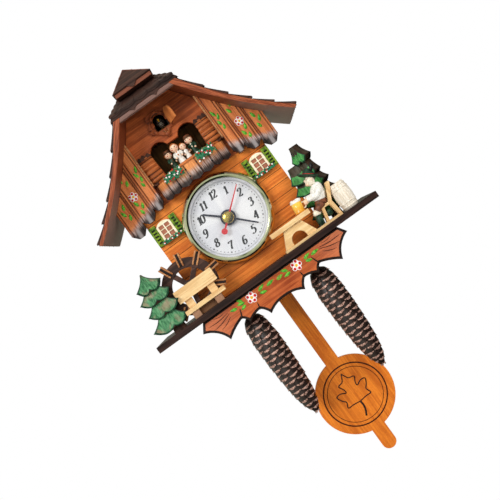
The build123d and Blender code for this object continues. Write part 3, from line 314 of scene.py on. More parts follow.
def planked_look():
    """Orange boards; the grooves between them are stained dark."""
    look = wood_look("wall_orange", srgb(238, 138, 56), srgb(204, 104, 38), "X", 0.4, 0.3)
    recess = look.fade(look.axis("Y"), -44.98, -44.86)
    look.colour(look.mix(look.times(recess, 0.85), look.base, srgb(84, 34, 12)))
    return look


def apron_look(name, light, dark, *rest):
    """Reddish timber, rosier and paler towards the two ends."""
    look = wood_look(name, light, dark, *rest)
    ends = look.fade(look.size(look.axis("X")), 26.0, 66.0)
    look.colour(look.mix(look.times(ends, 0.42), look.base, srgb(206, 130, 96)))
    return look


def barrel_look():
    """Cream wood, faintly streaked."""
    look = Look("barrel_cream", 0.5, specular=0.3)
    streak = look.noise(look.scaled(0.9, 0.9, 0.06), 1.0, 3.0)
    look.colour(look.mix(look.fade(streak, 0.36, 0.66), srgb(222, 208, 186), srgb(243, 234, 218)))
    look.bump(streak, 0.1, 0.5)
    return look


def bench_look():
    """Pale boards; below the seat the legs are painted brown and the board between them dark brown, as
    painted shade.
    """
    look = wood_look("bench_pine", srgb(240, 206, 154), srgb(214, 170, 114), "X", 0.5, 0.1, 0.8, 0.3)
    x = look.axis("X")
    # Below the seat, painted shade: the legs brown, the board between them darkest.
    below = look.fade(look.axis("Z"), -126.15, -126.35)
    between = look.times(look.fade(x, -64.15, -63.95), look.fade(x, -48.45, -48.65))
    shaded = look.mix(between, srgb(150, 108, 84), srgb(92, 46, 20))
    look.colour(look.mix(look.times(below, 0.92), look.base, shaded))
    return look


def bird_belly_look():
    """Pale breast with dark bars."""
    look = Look("bird_belly", 0.5, specular=0.3)
    bars = look.math("SINE", look.times(look.axis("Z"), 5.0))
    look.colour(look.mix(look.fade(bars, -0.2, 0.5), srgb(150, 142, 124), srgb(52, 46, 42)))
    look.bump(look.noise(look.scaled(1, 1, 1), 1.5, 3.0), 0.1, 0.4)
    return look


SIDING_BOARDS = ((37.0, 48.6), (48.6, 62.9), (62.9, 77.2))


def nearest(look, value, places):
    """Distance from a value to the nearest of some places."""
    gap = None
    for place in places:
        away = look.size(look.minus(value, place))
        gap = away if gap is None else look.math("MINIMUM", gap, away)
    return gap


def siding_flutes(look):
    """1 at the flutes and joints of the siding boards, 0 on the ribs between."""
    x = look.size(look.axis("X"))
    lines = [place for inner, outer in SIDING_BOARDS for place in (inner, inner + 2.1, outer - 2.1, outer)]
    return look.fade(nearest(look, x, lines), 0.95, 0.3)


def siding_middle(look):
    """1 down the middle of each siding board, where a pale streak is painted as a highlight."""
    x = look.size(look.axis("X"))
    return look.fade(nearest(look, x, [(inner + outer) / 2 for inner, outer in SIDING_BOARDS]), 2.6, 0.8)


def siding_depth(look):
    """Millimetres above the foot of whichever siding board this is."""
    x = look.size(look.axis("X"))
    drop = look.times(look.minus(x, 42.8), 0.37)
    return look.plus(look.plus(look.axis("Z"), drop), 37.5)


def balcony_joints(look):
    """1 along the joints between the balcony's planks."""
    x = look.size(look.axis("X"))
    return look.fade(nearest(look, x, (5.6, 17.0, 25.2, 33.2)), 1.1, 0.25)


def balcony_depth(look):
    return look.plus(look.axis("Z"), 37.5)


def burnt_look(name, light, dark, depth, flutes=None, middle=None):
    """Upright boards, airbrushed grey and then black towards their feet."""
    look = wood_look(name, light, dark, "Z", 0.42, 0.2, 1.0, 0.3)
    if flutes:
        look.base = look.mix(look.times(flutes(look), 0.72), look.base, srgb(96, 44, 22))
    ragged = look.noise(look.scaled(1.2, 1.2, 0.15), 1.0, 3.0)
    height = look.plus(depth(look), look.times(look.minus(ragged, 0.5), 5.0))
    streaks = look.noise(look.scaled(1.4, 1.4, 0.05), 1.0, 2.0)
    haze = look.mix(look.fade(streaks, 0.4, 0.6), srgb(70, 62, 62), srgb(186, 180, 178))
    base = look.mix(look.times(look.fade(height, 12.0, 6.5), 0.75), look.base, haze)
    base = look.mix(look.times(look.fade(height, 8.0, 2.5), 0.94), base, srgb(24, 20, 22))
    # A pale grey streak down each board's middle near its foot: a painted highlight.
    if middle:
        pale = look.times(middle(look), look.fade(height, 9.0, 4.0))
        base = look.mix(look.times(pale, 0.6), base, srgb(178, 170, 168))
    look.colour(base)
    return look


def roof_look():
    """Reddish boards: the front grain follows the slope; the underside is painted darker as shade, greyer at
    the eaves.
    """
    look = wood_look("roof_board", srgb(150, 84, 52), srgb(94, 44, 28), "X", 0.4, 0.3, 1.0, 0.35)
    normal = look.new("ShaderNodeNewGeometry").outputs["Normal"]
    split = look.new("ShaderNodeSeparateXYZ")
    look.put(split.inputs[0], normal)
    x, z = look.size(look.axis("X")), look.axis("Z")
    along = look.minus(look.times(x, 0.64), look.times(z, 0.77))
    across = look.plus(look.times(x, 0.77), look.times(z, 0.64))
    slope = look.new("ShaderNodeCombineXYZ")
    look.put(slope.inputs[0], look.times(along, 0.05))
    look.put(slope.inputs[1], look.times(across, 0.9))
    streak = look.noise(slope.outputs[0], 1.0, 4.0, 0.65)
    strip = look.mix(look.fade(streak, 0.4, 0.6), srgb(112, 52, 30), srgb(166, 88, 54))
    base = look.mix(look.fade(split.outputs["Y"], -0.6, -0.9), look.base, strip)
    # Faces turned downwards are painted darker as shade, greyer towards the eaves.
    under = look.fade(split.outputs["Z"], -0.25, -0.6)
    shade = look.mix(look.fade(z, 8.0, -24.0), srgb(112, 52, 27), srgb(132, 108, 98))
    look.colour(look.mix(look.times(under, 0.85), base, shade))
    return look


def shingle_look():
    """Dark weathered wood."""
    return wood_look("shingle", srgb(76, 50, 40), srgb(38, 25, 22), "X", 0.6, 0.0, 1.0, 0.2)


def hip_look():
    """Dark shingle wood above, a reddish fascia below, on one solid."""
    look = wood_look("hip_wood", srgb(70, 47, 38), srgb(38, 25, 21), "X", 0.6, 0.0, 1.0, 0.2)
    z = look.axis("Z")
    low = look.fade(z, 39.45, 39.35)
    cap = look.times(look.fade(z, 58.15, 58.25), look.fade(z, 62.05, 61.95))
    either = look.math("MAXIMUM", low, cap)
    grain = look.noise(look.scaled(0.06, 0.5, 1.1), 1.0, 4.0)
    grey = look.mix(grain, srgb(150, 118, 108), srgb(88, 60, 48))
    red = look.mix(grain, srgb(146, 86, 62), srgb(96, 50, 34))
    look.colour(look.mix(either, look.base, look.mix(cap, grey, red)))
    return look


def pendulum_look():
    """Orange timber; the turned ring grooves are dark."""
    look = wood_look("pendulum_wood", srgb(224, 126, 36), srgb(190, 96, 24), "Z", 0.4, 0.2, 1.2, 0.2)
    y = look.axis("Y")
    groove = look.times(look.fade(y, -16.75, -16.6), look.fade(y, -16.0, -16.15))
    look.colour(look.mix(groove, look.base, srgb(70, 32, 14)))
    return look


def tree_look(name, tint, shade, patch):
    """Brushed green over brown, rubbed through in broad soft places."""
    look = Look(name, 0.5, specular=0.2)
    big = look.noise(look.scaled(1, 1, 1), 0.09, 2.0, 0.5, 0.3)
    small = look.noise(look.scaled(1.1, 1.1, 0.35), 0.6, 3.0, 0.5)
    base = look.mix(look.fade(small, 0.25, 0.75), shade, tint)
    look.colour(look.mix(look.times(look.fade(big, 0.5, 0.66), 0.55), base, patch))
    look.bump(look.plus(small, big), 0.3, 0.45)
    look.rough(look.plus(look.times(small, 0.2), 0.38))
    return look


def cone_look():
    look = Look("cone_dark", 0.42, coat=0.1)
    spots = look.noise(look.scaled(1, 1, 1), 0.9, 4.0, 0.6)
    look.colour(look.mix(look.fade(spots, 0.35, 0.7), srgb(20, 12, 11), srgb(50, 31, 26)))
    look.bump(look.noise(look.scaled(3, 3, 0.6), 1.0, 3.0), 0.3, 0.6)
    return look


def copper_look():
    """Copper on the scales' lips, painted pale as a highlight."""
    look = Look("cone_copper_highlight", 0.38, metallic=0.3)
    spots = look.noise(look.scaled(1, 1, 1), 0.8, 4.0, 0.65)
    # Pale pinkish copper over the dark: the lips' painted highlight.
    base = look.mix(look.fade(spots, 0.36, 0.6), srgb(84, 52, 42), srgb(224, 178, 160))
    look.colour(base)
    look.rough(look.plus(look.times(spots, 0.3), 0.25))
    look.bump(look.noise(look.scaled(3, 3, 0.8), 1.0, 3.0), 0.25, 0.6)
    return look


def dial_look():
    """Pale metal brushed outwards from the middle, with broad lighter and darker sectors painted on as the
    sunburst sheen of the brushing.
    """
    look = Look("dial_silver", 0.42, metallic=0.0, coat=0.1)
    x = look.axis("X")
    z = look.minus(look.axis("Z"), DIAL_Z)
    turn = look.math("ARCTAN2", z, x)
    fan = look.new("ShaderNodeCombineXYZ")
    look.put(fan.inputs[0], look.times(look.math("COSINE", turn), 3.0))
    look.put(fan.inputs[1], look.times(look.math("SINE", turn), 3.0))
    lines = look.noise(fan.outputs[0], 14.0, 3.0, 0.6)
    # Broad sectors round the middle, painted lighter and darker: a painted sunburst sheen.
    soft = look.noise(fan.outputs[0], 0.5, 1.0)
    base = look.mix(look.fade(soft, 0.35, 0.65), srgb(206, 207, 212), srgb(226, 226, 226))
    base = look.mix(look.times(look.fade(lines, 0.4, 0.6), 0.25), base, srgb(240, 240, 240))
    look.colour(base)
    look.bump(lines, 0.02, 0.3)
    return look


def second_look():
    """Red needle and counterweight; the dome in front is gold."""
    look = Look("second_red", 0.35)
    dome = look.fade(look.axis("Y"), -50.02, -50.06)
    fine = look.noise(look.scaled(1, 1, 1), 4.0)
    red = look.mix(fine, srgb(204, 12, 32), srgb(184, 8, 24))
    look.colour(look.mix(dome, red, srgb(214, 184, 84)))
    look.metal(dome)
    look.rough(look.minus(0.38, look.times(dome, 0.2)))
    look.bump(fine, 0.01, 0.2)
    return look


def beer_look():
    look = Look("beer", 0.15, coat=0.6)
    z = look.axis("Z")
    bubbles = look.noise(look.scaled(1, 1, 1), 1.6, 3.0)
    base = look.mix(look.fade(z, -112.0, -103.0), srgb(226, 150, 30), srgb(250, 198, 70))
    look.colour(look.mix(look.times(look.fade(bubbles, 0.6, 0.7), 0.5), base, srgb(255, 228, 150)))
    look.bump(bubbles, 0.05, 0.3)
    return look


def battery_look():
    """A plain two-tone cell jacket with no print."""
    look = Look("battery_jacket", 0.3, metallic=0.6)
    fine = look.noise(look.scaled(0.1, 2, 2), 1.0)
    split = look.fade(look.axis("X"), 9.0, 9.2)
    look.colour(look.mix(split, look.mix(fine, srgb(40, 40, 44), srgb(26, 26, 30)), srgb(196, 130, 52)))
    look.bump(fine, 0.02, 0.3)
    return look


def window_look():
    """Cream frame with rosy panes set back in it."""
    look = paint_look("window_cream", srgb(248, 238, 212), srgb(232, 214, 172), 0.45)
    pane = look.fade(look.axis("Y"), -46.75, -46.6)
    cloud = look.noise(look.scaled(1, 1, 1), 0.5, 3.0)
    glass = look.mix(cloud, srgb(196, 130, 104), srgb(138, 78, 56))
    look.colour(look.mix(pane, look.base, glass))
    look.rough(look.minus(0.45, look.times(pane, 0.25)))
    return look


def shutter_look():
    look = paint_look("shutter_green", srgb(132, 158, 44), srgb(58, 92, 30), 0.2)
    deep = look.fade(look.axis("Y"), -46.4, -46.2)
    look.colour(look.mix(deep, look.base, srgb(30, 40, 20)))
    return look


def glass_look():
    look = Look("lens_glass", 0.04, coat=0.0, specular=0.15)
    dust = look.noise(look.scaled(1, 1, 1), 0.3, 3.0)
    look.colour(look.mix(dust, srgb(250, 252, 255), srgb(240, 244, 250)))
    look.shader.inputs["Alpha"].default_value = 0.03
    look.rough(look.plus(look.times(dust, 0.05), 0.02))
    return look


# ---- mesh helpers ---------------------------------------------------------------------------
class Shape:
    """Collects vertices in millimetres and faces with material numbers."""

    def __init__(self):
        self.verts = []
        self.faces = []
        self.mats = []
        self.smooth = []

    def add(self, verts, faces, mat=0, smooth=True):
        start = len(self.verts)
        self.verts += [tuple(v) for v in verts]
        for number, face in enumerate(faces):
            self.faces.append([start + i for i in face])
            self.mats.append(mat[number] if isinstance(mat, list) else mat)
            self.smooth.append(smooth)

    def grid(self, rows, mat=0, smooth=True, loop=False):
        """Quads between rows of points; loop joins each row's ends."""
        across = len(rows[0])
        verts = [p for row in rows for p in row]
        faces = []
        for i in range(len(rows) - 1):
            for j in range(across if loop else across - 1):
                k = (j + 1) % across
                faces.append((i * across + j, i * across + k, (i + 1) * across + k, (i + 1) * across + j))
        self.add(verts, faces, mat, smooth)

    def prism(self, outline, y_front, y_back, mat=0, smooth=False):
        """A plate drawn in X-Z."""
        n = len(outline)
        verts = [(x, y_front, z) for x, z in outline] + [(x, y_back, z) for x, z in outline]
        faces = [tuple(range(n)), tuple(range(2 * n - 1, n - 1, -1))]
        faces += [(i, i + n, (i + 1) % n + n, (i + 1) % n) for i in range(n)]
        self.add(verts, faces, mat, smooth)

    def box(self, x, y, z, mat=0, turn=None):
        """A box from (low, high) pairs; turn is a matrix applied afterwards."""
        verts = [(a, b, c) for a in x for b in y for c in z]
        if turn is not None:
            verts = [turn @ Vector(v) for v in verts]
        faces = [(0, 1, 3, 2), (4, 6, 7, 5), (0, 4, 5, 1), (2, 3, 7, 6), (0, 2, 6, 4), (1, 5, 7, 3)]
        self.add(verts, faces, mat, False)

    def ball(self, centre, radii, mat=0, turn=None, segments=16, rings=10):
        """An ellipsoid."""
        turn = turn or Matrix.Identity(3)
        rows = []
        for i in range(rings + 1):
            a = pi * i / rings - pi / 2
            ring = []
            for j in range(segments):
                b = 2 * pi * j / segments
                point = Vector((radii[0] * cos(a) * cos(b), radii[1] * cos(a) * sin(b), radii[2] * sin(a)))
                ring.append(Vector(centre) + turn @ point)
            rows.append(ring)
        self.capped(rows, mat)

    def capped(self, rows, mat=0, smooth=True):
        """A looped grid whose first and last rings are closed."""
        across = len(rows[0])
        self.grid(rows, mat, smooth, loop=True)
        last = len(self.verts) - across
        first = len(self.verts) - across * len(rows)
        for start in (first, last):
            self.faces.append(list(range(start, start + across)))
            self.mats.append(mat)
            self.smooth.append(smooth)

    def lathe(self, centre, profile, mat=0, turn=None, segments=28):
        """A solid turned about Z through the centre; profile is (radius, height) pairs."""
        turn = turn or Matrix.Identity(3)
        rows = []
        for radius, height in profile:
            ring = [Vector((radius * cos(2 * pi * j / segments), radius * sin(2 * pi * j / segments), height))
                    for j in range(segments)]
            rows.append([Vector(centre) + turn @ p for p in ring])
        self.capped(rows, mat)

    def tube(self, points, radii, mat=0, segments=10):
        """A round bar along a path; radii may change along it."""
        points = [Vector(p) for p in points]
        if not isinstance(radii, (list, tuple)):
            radii = [radii] * len(points)
        rows = []
        for i, point in enumerate(points):
            ahead = points[min(i + 1, len(points) - 1)] - points[max(i - 1, 0)]
            side = ahead.cross(Vector((0.13, 1.0, 0.21))).normalized()
            up = side.cross(ahead).normalized()
            turns = [2 * pi * j / segments for j in range(segments)]
            rows.append([point + radii[i] * (cos(turn) * side + sin(turn) * up) for turn in turns])
        self.capped(rows, mat)

    def piece(self, name, looks, body, replaces=(), bevel=0.0, bevel_mat=-1, subdivide=0,
              weld=True):
        """Makes the Blender object."""
        mesh = bpy.data.meshes.new(name)
        mesh.from_pydata([[c * MM for c in v] for v in self.verts], [], self.faces)
        for polygon, mat, smooth in zip(mesh.polygons, self.mats, self.smooth):
            polygon.material_index = mat
            polygon.use_smooth = smooth
        work = bmesh.new()
        work.from_mesh(mesh)
        if weld:
            bmesh.ops.remove_doubles(work, verts=work.verts, dist=0.000004)
        bmesh.ops.recalc_face_normals(work, faces=work.faces)
        work.to_mesh(mesh)
        work.free()
        obj = bpy.data.objects.new(name, mesh)
        bpy.context.scene.collection.objects.link(obj)
        for look in looks if isinstance(looks, (list, tuple)) else [looks]:
            mesh.materials.append(LOOKS[look].material)
        if bevel:
            add_bevel(obj, bevel, bevel_mat)
        if subdivide:
            modifier = obj.modifiers.new("subdivide", "SUBSURF")
            modifier.levels = modifier.render_levels = subdivide
        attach(obj, body)
        if replaces:
            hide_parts(*replaces)
        return obj


def add_bevel(obj, width_mm, mat=-1, segments=2, angle=35):
    modifier = obj.modifiers.new("bevel", "BEVEL")
    modifier.width = width_mm * MM
    modifier.segments = segments
    modifier.limit_method = "ANGLE"
    modifier.angle_limit = radians(angle)
    modifier.material = mat
    modifier.harden_normals = False
    return modifier


def dress(node, look, bevel=0.0, angle=35):
    """Gives a CAD node its material, and softens its edges."""
    obj = NODES[node]
    for place in obj.material_slots:
        place.material = LOOKS[look].material
    if bevel:
        weld = obj.modifiers.new("weld", "WELD")
        weld.merge_threshold = 0.000004
        add_bevel(obj, bevel, angle=angle)


def leaf_outline(length, width, points=7):
    """A pointed oval from (0, 0) to (0, length)."""
    right = []
    for i in range(1, points):
        t = i / points
        right.append((width / 2 * sin(pi * t ** 0.8), length * t))
    return [(0, 0), *right, (0, length), *[(-x, z) for x, z in reversed(right)]]


def placed(outline, x, z, turn):
    """An outline turned clockwise from up, in degrees, and moved."""
    c, s = cos(radians(turn)), sin(radians(turn))
    return [(x + px * c + pz * s, z - px * s + pz * c) for px, pz in outline]


def painted_leaf(shape, x, z, turn, length, width, y, mat=0, thick=0.12):
    """A leaf of thick paint with a raised rib."""
    edge = placed(leaf_outline(length, width), x, z, turn)
    tip = placed([(0, length)], x, z, turn)[0]
    n = len(edge)
    ridge = [((x + tip[0]) / 2, (z + tip[1]) / 2)]
    verts = [(px, y, pz) for px, pz in edge] + [(ridge[0][0], y - thick * 2, ridge[0][1])]
    faces = [(i, (i + 1) % n, n) for i in range(n)]
    verts += [(px, y + 0.3, pz) for px, pz in edge]
    faces += [(i, (i + 1) % n, (i + 1) % n + n + 1, i + n + 1) for i in range(n)]
    faces.append(tuple(range(n + 1, 2 * n + 1)))
    shape.add(verts, faces, mat, True)


def painted_flower(shape, x, z, radius, y, mats, petals=5, turn=0.0):
    """Round petals, each a white daub over a red one, about a domed yellow middle."""
    outer, inner, eye = mats
    for i in range(petals):
        a = radians(turn + i * 360 / petals)
        px, pz = x + 0.58 * radius * sin(a), z + 0.58 * radius * cos(a)
        shape.ball((px, y, pz), (radius * 0.44, 0.25, radius * 0.44), outer, segments=10, rings=6)
        qx, qz = x + 0.66 * radius * sin(a), z + 0.66 * radius * cos(a)
        shape.ball((qx, y - 0.12, qz), (radius * 0.27, 0.24, radius * 0.27), inner, segments=10, rings=6)
    shape.ball((x, y - 0.1, z), (radius * 0.26, 0.4, radius * 0.26), eye, segments=10, rings=6)


def circle_through(points):
    """Centre and radius of the circle through three points of a plane."""
    (x1, z1), (x2, z2), (x3, z3) = points
    d = 2 * (x1 * (z2 - z3) + x2 * (z3 - z1) + x3 * (z1 - z2))
    s1, s2, s3 = x1 * x1 + z1 * z1, x2 * x2 + z2 * z2, x3 * x3 + z3 * z3
    cx = (s1 * (z2 - z3) + s2 * (z3 - z1) + s3 * (z1 - z2)) / d
    cz = (s1 * (x3 - x2) + s2 * (x1 - x3) + s3 * (x2 - x1)) / d
    return cx, cz, hypot(x1 - cx, z1 - cz)


def arc(start, through, end, steps):
    """Points of the circular arc through three points of a plane."""
    cx, cz, radius = circle_through((start, through, end))
    a1, a2, a3 = (atan2(z - cz, x - cx) for x, z in (start, through, end))
    while a2 < a1:
        a2 += 2 * pi
    while a3 < a1:
        a3 += 2 * pi
    if a2 > a3:
        a3 -= 2 * pi
    return [(cx + radius * cos(a1 + (a3 - a1) * i / steps), cz + radius * sin(a1 + (a3 - a1) * i / steps))
            for i in range(steps + 1)]


def smooth_path(points, steps=6):
    """Catmull-Rom points through a path."""
    points = [Vector(p) for p in points]
    out = []
    for i in range(len(points) - 1):
        a = points[max(i - 1, 0)]
        b, c = points[i], points[i + 1]
        d = points[min(i + 2, len(points) - 1)]
        for k in range(steps):
            t = k / steps
            out.append(0.5 * ((2 * b) + (c - a) * t + (2 * a - 5 * b + 4 * c - d) * t * t
                              + (3 * b - a - 3 * c + d) * t ** 3))
    return [*out, points[-1]]


LOOKS = make_looks()


# ---- CAD nodes that keep their shape -----------------------------------------------------------
def dress_cad():
    plain = {
        "back_panel": ("ply", 0.3), "rear_door": ("ply", 0.25), "side_walls": ("side", 0.3),
        "front_wall": ("wall", 0.12), "gable_front": ("gable", 0.25), "shelf": ("shelf", 0.45),
        "roof_panel_left": ("roof", 0.6), "roof_panel_right": ("roof", 0.6),
        "siding_boards": ("siding", 0.15),
        "hip_roof": ("hip", 0.4), "ridge_cap": ("hip", 0.5), "window_frames": ("window", 0.25),
        "window_shutters": ("shutter", 0.2), "cuckoo_frame": ("frame", 0.3),
        "cuckoo_door": ("door_leaf", 0.3),
        "bench": ("bench", 0.5), "table": ("pine", 0.5), "chair": ("pine_up", 0.4), "bezel": ("gold", 0.0),
        "dial": ("dial", 0.0), "lens": ("glass", 0.15), "hour_hand": ("navy", 0.1),
        "minute_hand": ("navy", 0.1),
        "second_hand": ("second", 0.08), "movement_front_case": ("plastic", 0.3),
        "movement_rear_case": ("plastic", 0.3), "battery": ("battery", 0.3),
        "battery_contacts": ("steel", 0.1),
        "drive_coil": ("copper", 0.1), "setting_knob": ("white_plastic", 0.1),
        "pendulum_hanger": ("steel", 0.1),
        "pendulum": ("pendulum", 0.4), "bird_guide": ("backdrop", 0.2), "gear_motors": ("plastic", 0.4),
        "turntable": ("pine", 0.3), "wheel_axle": ("shelf", 0.2), "cone_hooks": ("wire", 0.0),
        "hanger_plate": ("steel", 0.15), "sound_unit": ("plastic", 0.4),
        "volume_switch": ("white_plastic", 0.15),
        "plate_screws": ("steel", 0.15), "second_wheel": ("white_plastic", 0.0),
        "third_wheel": ("white_plastic", 0.0), "minute_wheel": ("white_plastic", 0.0),
        "motion_wheel": ("white_plastic", 0.0), "hour_wheel": ("white_plastic", 0.0),
        "balcony": ("balcony", 0.2),
    }
    for node, (look, bevel) in plain.items():
        dress(node, look, bevel)


# ---- roof ---------------------------------------------------------------------------------
ROOF_OVER = ((18.0, 61.4), (56.7, 6.1), (100.4, -36.6))
ROWS = 6
HIP_FRONT_Z = 44.0
HIP_RISE = tan(radians(25.6))


def over_point(x):
    """The roof's upper surface at x, and its outward normal."""
    cx, cz, radius = circle_through(ROOF_OVER)
    z = cz - sqrt(radius ** 2 - (x - cx) ** 2)
    return z, ((cx - x) / radius, (cz - z) / radius)


def hip_z(y):
    """Height of the hip's slope above a given depth."""
    return HIP_FRONT_Z + (y + 75.0) * HIP_RISE


def roof_shingles():
    """Single shingles in six rows on each slope, thick and pointed at their lower ends."""
    rng = random.Random(11)
    shape = Shape()
    edges = [100.4 - i * (100.4 - 18.6) / ROWS for i in range(ROWS + 1)]
    count = 8
    for side in (-1, 1):
        for row in range(ROWS):
            low, high = edges[row], edges[row + 1]
            offset = (row % 2) * 0.5
            cuts = [0.0] + [(i + offset) / count * 75 for i in range(1 - int(offset > 0), count)
                            if (i + offset) > 0] + [75.0]
            for near, far in zip(cuts, cuts[1:]):
                one_shingle(shape, side, low, high, -75 + near, -75 + far, rng)
    return shape.piece("roof_shingle_rows", ["shingle"], "house", ["roof_shingles"],
                       bevel=0.25)


def one_shingle(shape, side, low, high, y_front, y_back, rng):
    lift_low = 2.1 + rng.uniform(-0.2, 0.25)
    drop = 0.9 + rng.uniform(-0.2, 0.3)
    rings = []
    steps = 5
    for i in range(steps + 1):
        t = i / steps
        ring = []
        for layer in (1, 0):
            across = [0, 0.25, 0.5, 0.75, 1.0] if layer else [1.0, 0.75, 0.5, 0.25, 0]
            for s in across:
                y = y_front + 0.12 + (y_back - y_front - 0.24) * s
                point = (1 - abs(2 * s - 1)) * drop * (1 - t)
                x = low + (high - low) * t + point - 0.7 * (1 - t)
                z, normal = over_point(min(max(x, 18.2), 101.0))
                lift = (lift_low * (1 - t) + 0.35 * t) if layer else 0.02
                top = (side * (x + lift * normal[0]), y, z + lift * normal[1])
                ring.append(top)
        rings.append(ring)
    if any(p[2] > hip_z(p[1]) + 1.5 for ring in rings for p in ring):
        rings = [[(x, y, min(z, hip_z(y) + 0.6)) for x, y, z in ring] for ring in rings]
        if all(p[2] >= hip_z(p[1]) for p in rings[0]):
            return
    shape.capped(rings, 0, smooth=False)


def hip_shingles():
    """Four rows on the sloped front, their lower ends scalloped over the fascia."""
    rng = random.Random(5)
    shape = Shape()
    rows = 4
    for row in range(rows):
        y0 = -75.6 + row * 11.2
        y1 = y0 + 13.0
        half0, half1 = hip_half(y0), hip_half(y1)
        count = 5 - row // 2
        for i in range(count):
            a0, a1 = i / count * 2 - 1, (i + 1) / count * 2 - 1
            hip_shingle(shape, (a0, a1), (y0, y1), (half0, half1), rng)
    for x in (-11.0, 11.0):
        tip = [(x - 4.6, 39.8), (x - 1.8, 38.8), (x, 37.0), (x + 1.8, 38.8), (x + 4.6, 39.8), (x + 4.0, 41.2),
               (x - 4.0, 41.2)]
        shape.prism(tip, -75.8, -74.8, 0)
    return shape.piece("hip_shingle_rows", ["shingle"], "house", bevel=0.25)


def hip_half(y):
    """Half width of the hip's slope at a depth."""
    return 32.2 + (y + 75.0) * (17.6 - 32.2) / 46.0


def hip_shingle(shape, share, depth, half, rng):
    rings = []
    lift = 1.5 + rng.uniform(-0.15, 0.2)
    for i in range(5):
        t = i / 4
        y = depth[0] + (depth[1] - depth[0]) * t
        width = half[0] + (half[1] - half[0]) * t
        ring = []
        for layer in (1, 0):
            for s in ([0, 0.25, 0.5, 0.75, 1] if layer else [1, 0.75, 0.5, 0.25, 0]):
                x = width * (share[0] + (share[1] - share[0]) * (0.01 + 0.98 * s))
                sag = (1 - abs(2 * s - 1) ** 1.5) * 1.4 * (1 - t)
                z = hip_z(max(y, -75.0)) - sag * 0.9 - (0.8 if i == 0 else 0.0)
                ring.append((x, max(y - sag * 0.3, -75.9), z + (lift * (1 - t) + 0.3 * t if layer else -0.6)))
        rings.append(ring)
    shape.capped(rings, 0, smooth=False)


def cap_shingles():
    """Three rows on each side of the ridge cap, a plain front, and a point over the middle of its fascia."""
    shape = Shape()
    half, top, base, y_front = 18.5, 80.7, 62.0, -58.0
    rows = 3
    for row in range(rows):
        t0, t1 = row / rows, (row + 1) / rows
        for side in (-1, 1):
            ridge_strip(shape, side, t0, t1, half, base, top, y_front)
    front_strip(shape, 0.0, 1.0, half, base, top, y_front)
    for side in (-1, 1):
        shape.tube([(side * half, y_front - 0.5, base + 1.0), (0, y_front + half - 0.5, top + 0.4)], 0.4, 1,
                   segments=8)
    tip = [(-5.5, 62.4), (0, 58.3), (5.5, 62.4), (4.0, 64.4), (-4.0, 64.4)]
    shape.prism(tip, -59.0, -57.4, 0)
    return shape.piece("cap_shingle_rows", ["shingle", "fascia"], "house", bevel=0.2)


def ridge_strip(shape, side, t0, t1, half, base, top, y_front):
    rise = top - base
    normal = Vector((rise, 0, half)).normalized()
    ends = []
    for t, lift in ((t0 - 0.02, 1.3), (t1, 0.3)):
        x, z = half * (1 - t), base + rise * t
        front = y_front + half * t - 0.6 * (1 - t)
        ends.append([(side * (x + lift * normal.x), y, z + lift * normal.z) for y in (front, 0)]
                    + [(side * (x - 0.3 * normal.x), y, z - 0.3 * normal.z) for y in (0, front)])
    shape.capped(ends, 0, smooth=False)


def front_strip(shape, t0, t1, half, base, top, y_front):
    rise = top - base
    normal = Vector((0, -rise, half)).normalized()
    ends = []
    for t, lift in ((t0 - 0.02, 1.3), (t1, 0.3)):
        width, z, y = half * (1 - t), base + rise * t, y_front + half * t
        ends.append([(x, y + lift * normal.y, z + lift * normal.z) for x in (-width, width)]
                    + [(x, y - 0.3 * normal.y, z - 0.3 * normal.z) for x in (width, -width)])
    shape.capped(ends, 0, smooth=False)


# ---- gable, stage and balcony --------------------------------------------------------------------
def gable_carving():
    """Posts, fluted shutters folded back beside the stage, and carved brackets under them."""
    shape = Shape()
    for side in (-1, 1):
        x_in, x_out = 23.0, 35.8
        rows = []
        for i in range(29):
            z = -17.4 + i * 0.82
            swell = abs(sin(pi * (z + 17.4) / 4.1)) ** 0.6
            y = -46.4 - 1.5 * swell
            ring = [(side * (x_in + 1.0 * (1 - swell)), y, z), (side * (x_in + 4), y - 0.6, z),
                    (side * (x_out - 4), y - 0.5, z), (side * x_out, y, z), (side * x_out, -45, z),
                    (side * x_in, -45, z)]
            rows.append(ring)
        shape.capped(rows, 0)
        for z in (-13.3, -9.2, 2.9):
            shape.tube([(side * x_in, -46.9, z), (side * 29, -47.5, z - 0.3), (side * x_out, -46.9, z)],
                       0.42, 1, segments=8)
        fan = [(22.6, 5.2), (24.5, 8.2), (27.5, 7.0), (29.5, 9.0), (32.0, 7.4), (34.0, 8.6), (36.0, 6.2),
               (36.0, 4.4),
               (22.6, 4.4)]
        shape.prism([(side * x, z) for x, z in fan], -48.4, -45, 1)
        shape.box(sorted((side * 35.9, side * 37.1)), (-52.0, -45.0), (-19.0, 26.0), 2)
        for k in range(3):
            x = 26.0 + k * 4.6
            curl = [(side * x, -49.5, -18.4), (side * (x + 2), -50.6, -20.2),
                    (side * (x + 4.2), -49.8, -18.9)]
            shape.tube(smooth_path(curl, 4), 0.9, 1)
        shape.box(sorted((side * 24.5, side * 36.0)), (-48.6, -45.0), (-20.6, -18.0), 1)
    return shape.piece("gable_carving", ["carved", "dark_carved", "wheel_edge"], "house", ["gable_shutters"],
                       bevel=0.2)


def rail_trim():
    """A moulded rail cap, and small black dots between the balcony planks, painted shade standing in for
    holes there.
    """
    shape = Shape()
    path = [(-34.8, -45.5, -20.0), (-18.0, -63.6, -20.0), (18.0, -63.6, -20.0), (34.8, -45.5, -20.0)]
    rows = []
    for x, y, z in path:
        out = Vector((x * 0.012, -1, 0)).normalized() * 0.7
        rows.append([(x, y, z + 1.3), (x + out.x, y + out.y, z + 1.0), (x + out.x, y + out.y, z - 1.0),
                     (x, y, z - 1.3), (x, y + 1.0, z)])
    shape.capped(rows, 0, smooth=False)
    # Black dots between the planks: painted shade where the holes are.
    for x in (-16.8, -5.6, 5.6, 16.8):
        for z in (-25.2, -32.0):
            shape.ball((x, -63.1, z), (0.75, 0.5, 1.0), 1, segments=10, rings=6)
    return shape.piece("rail_trim", ["carved", "black"], "house", bevel=0.2)


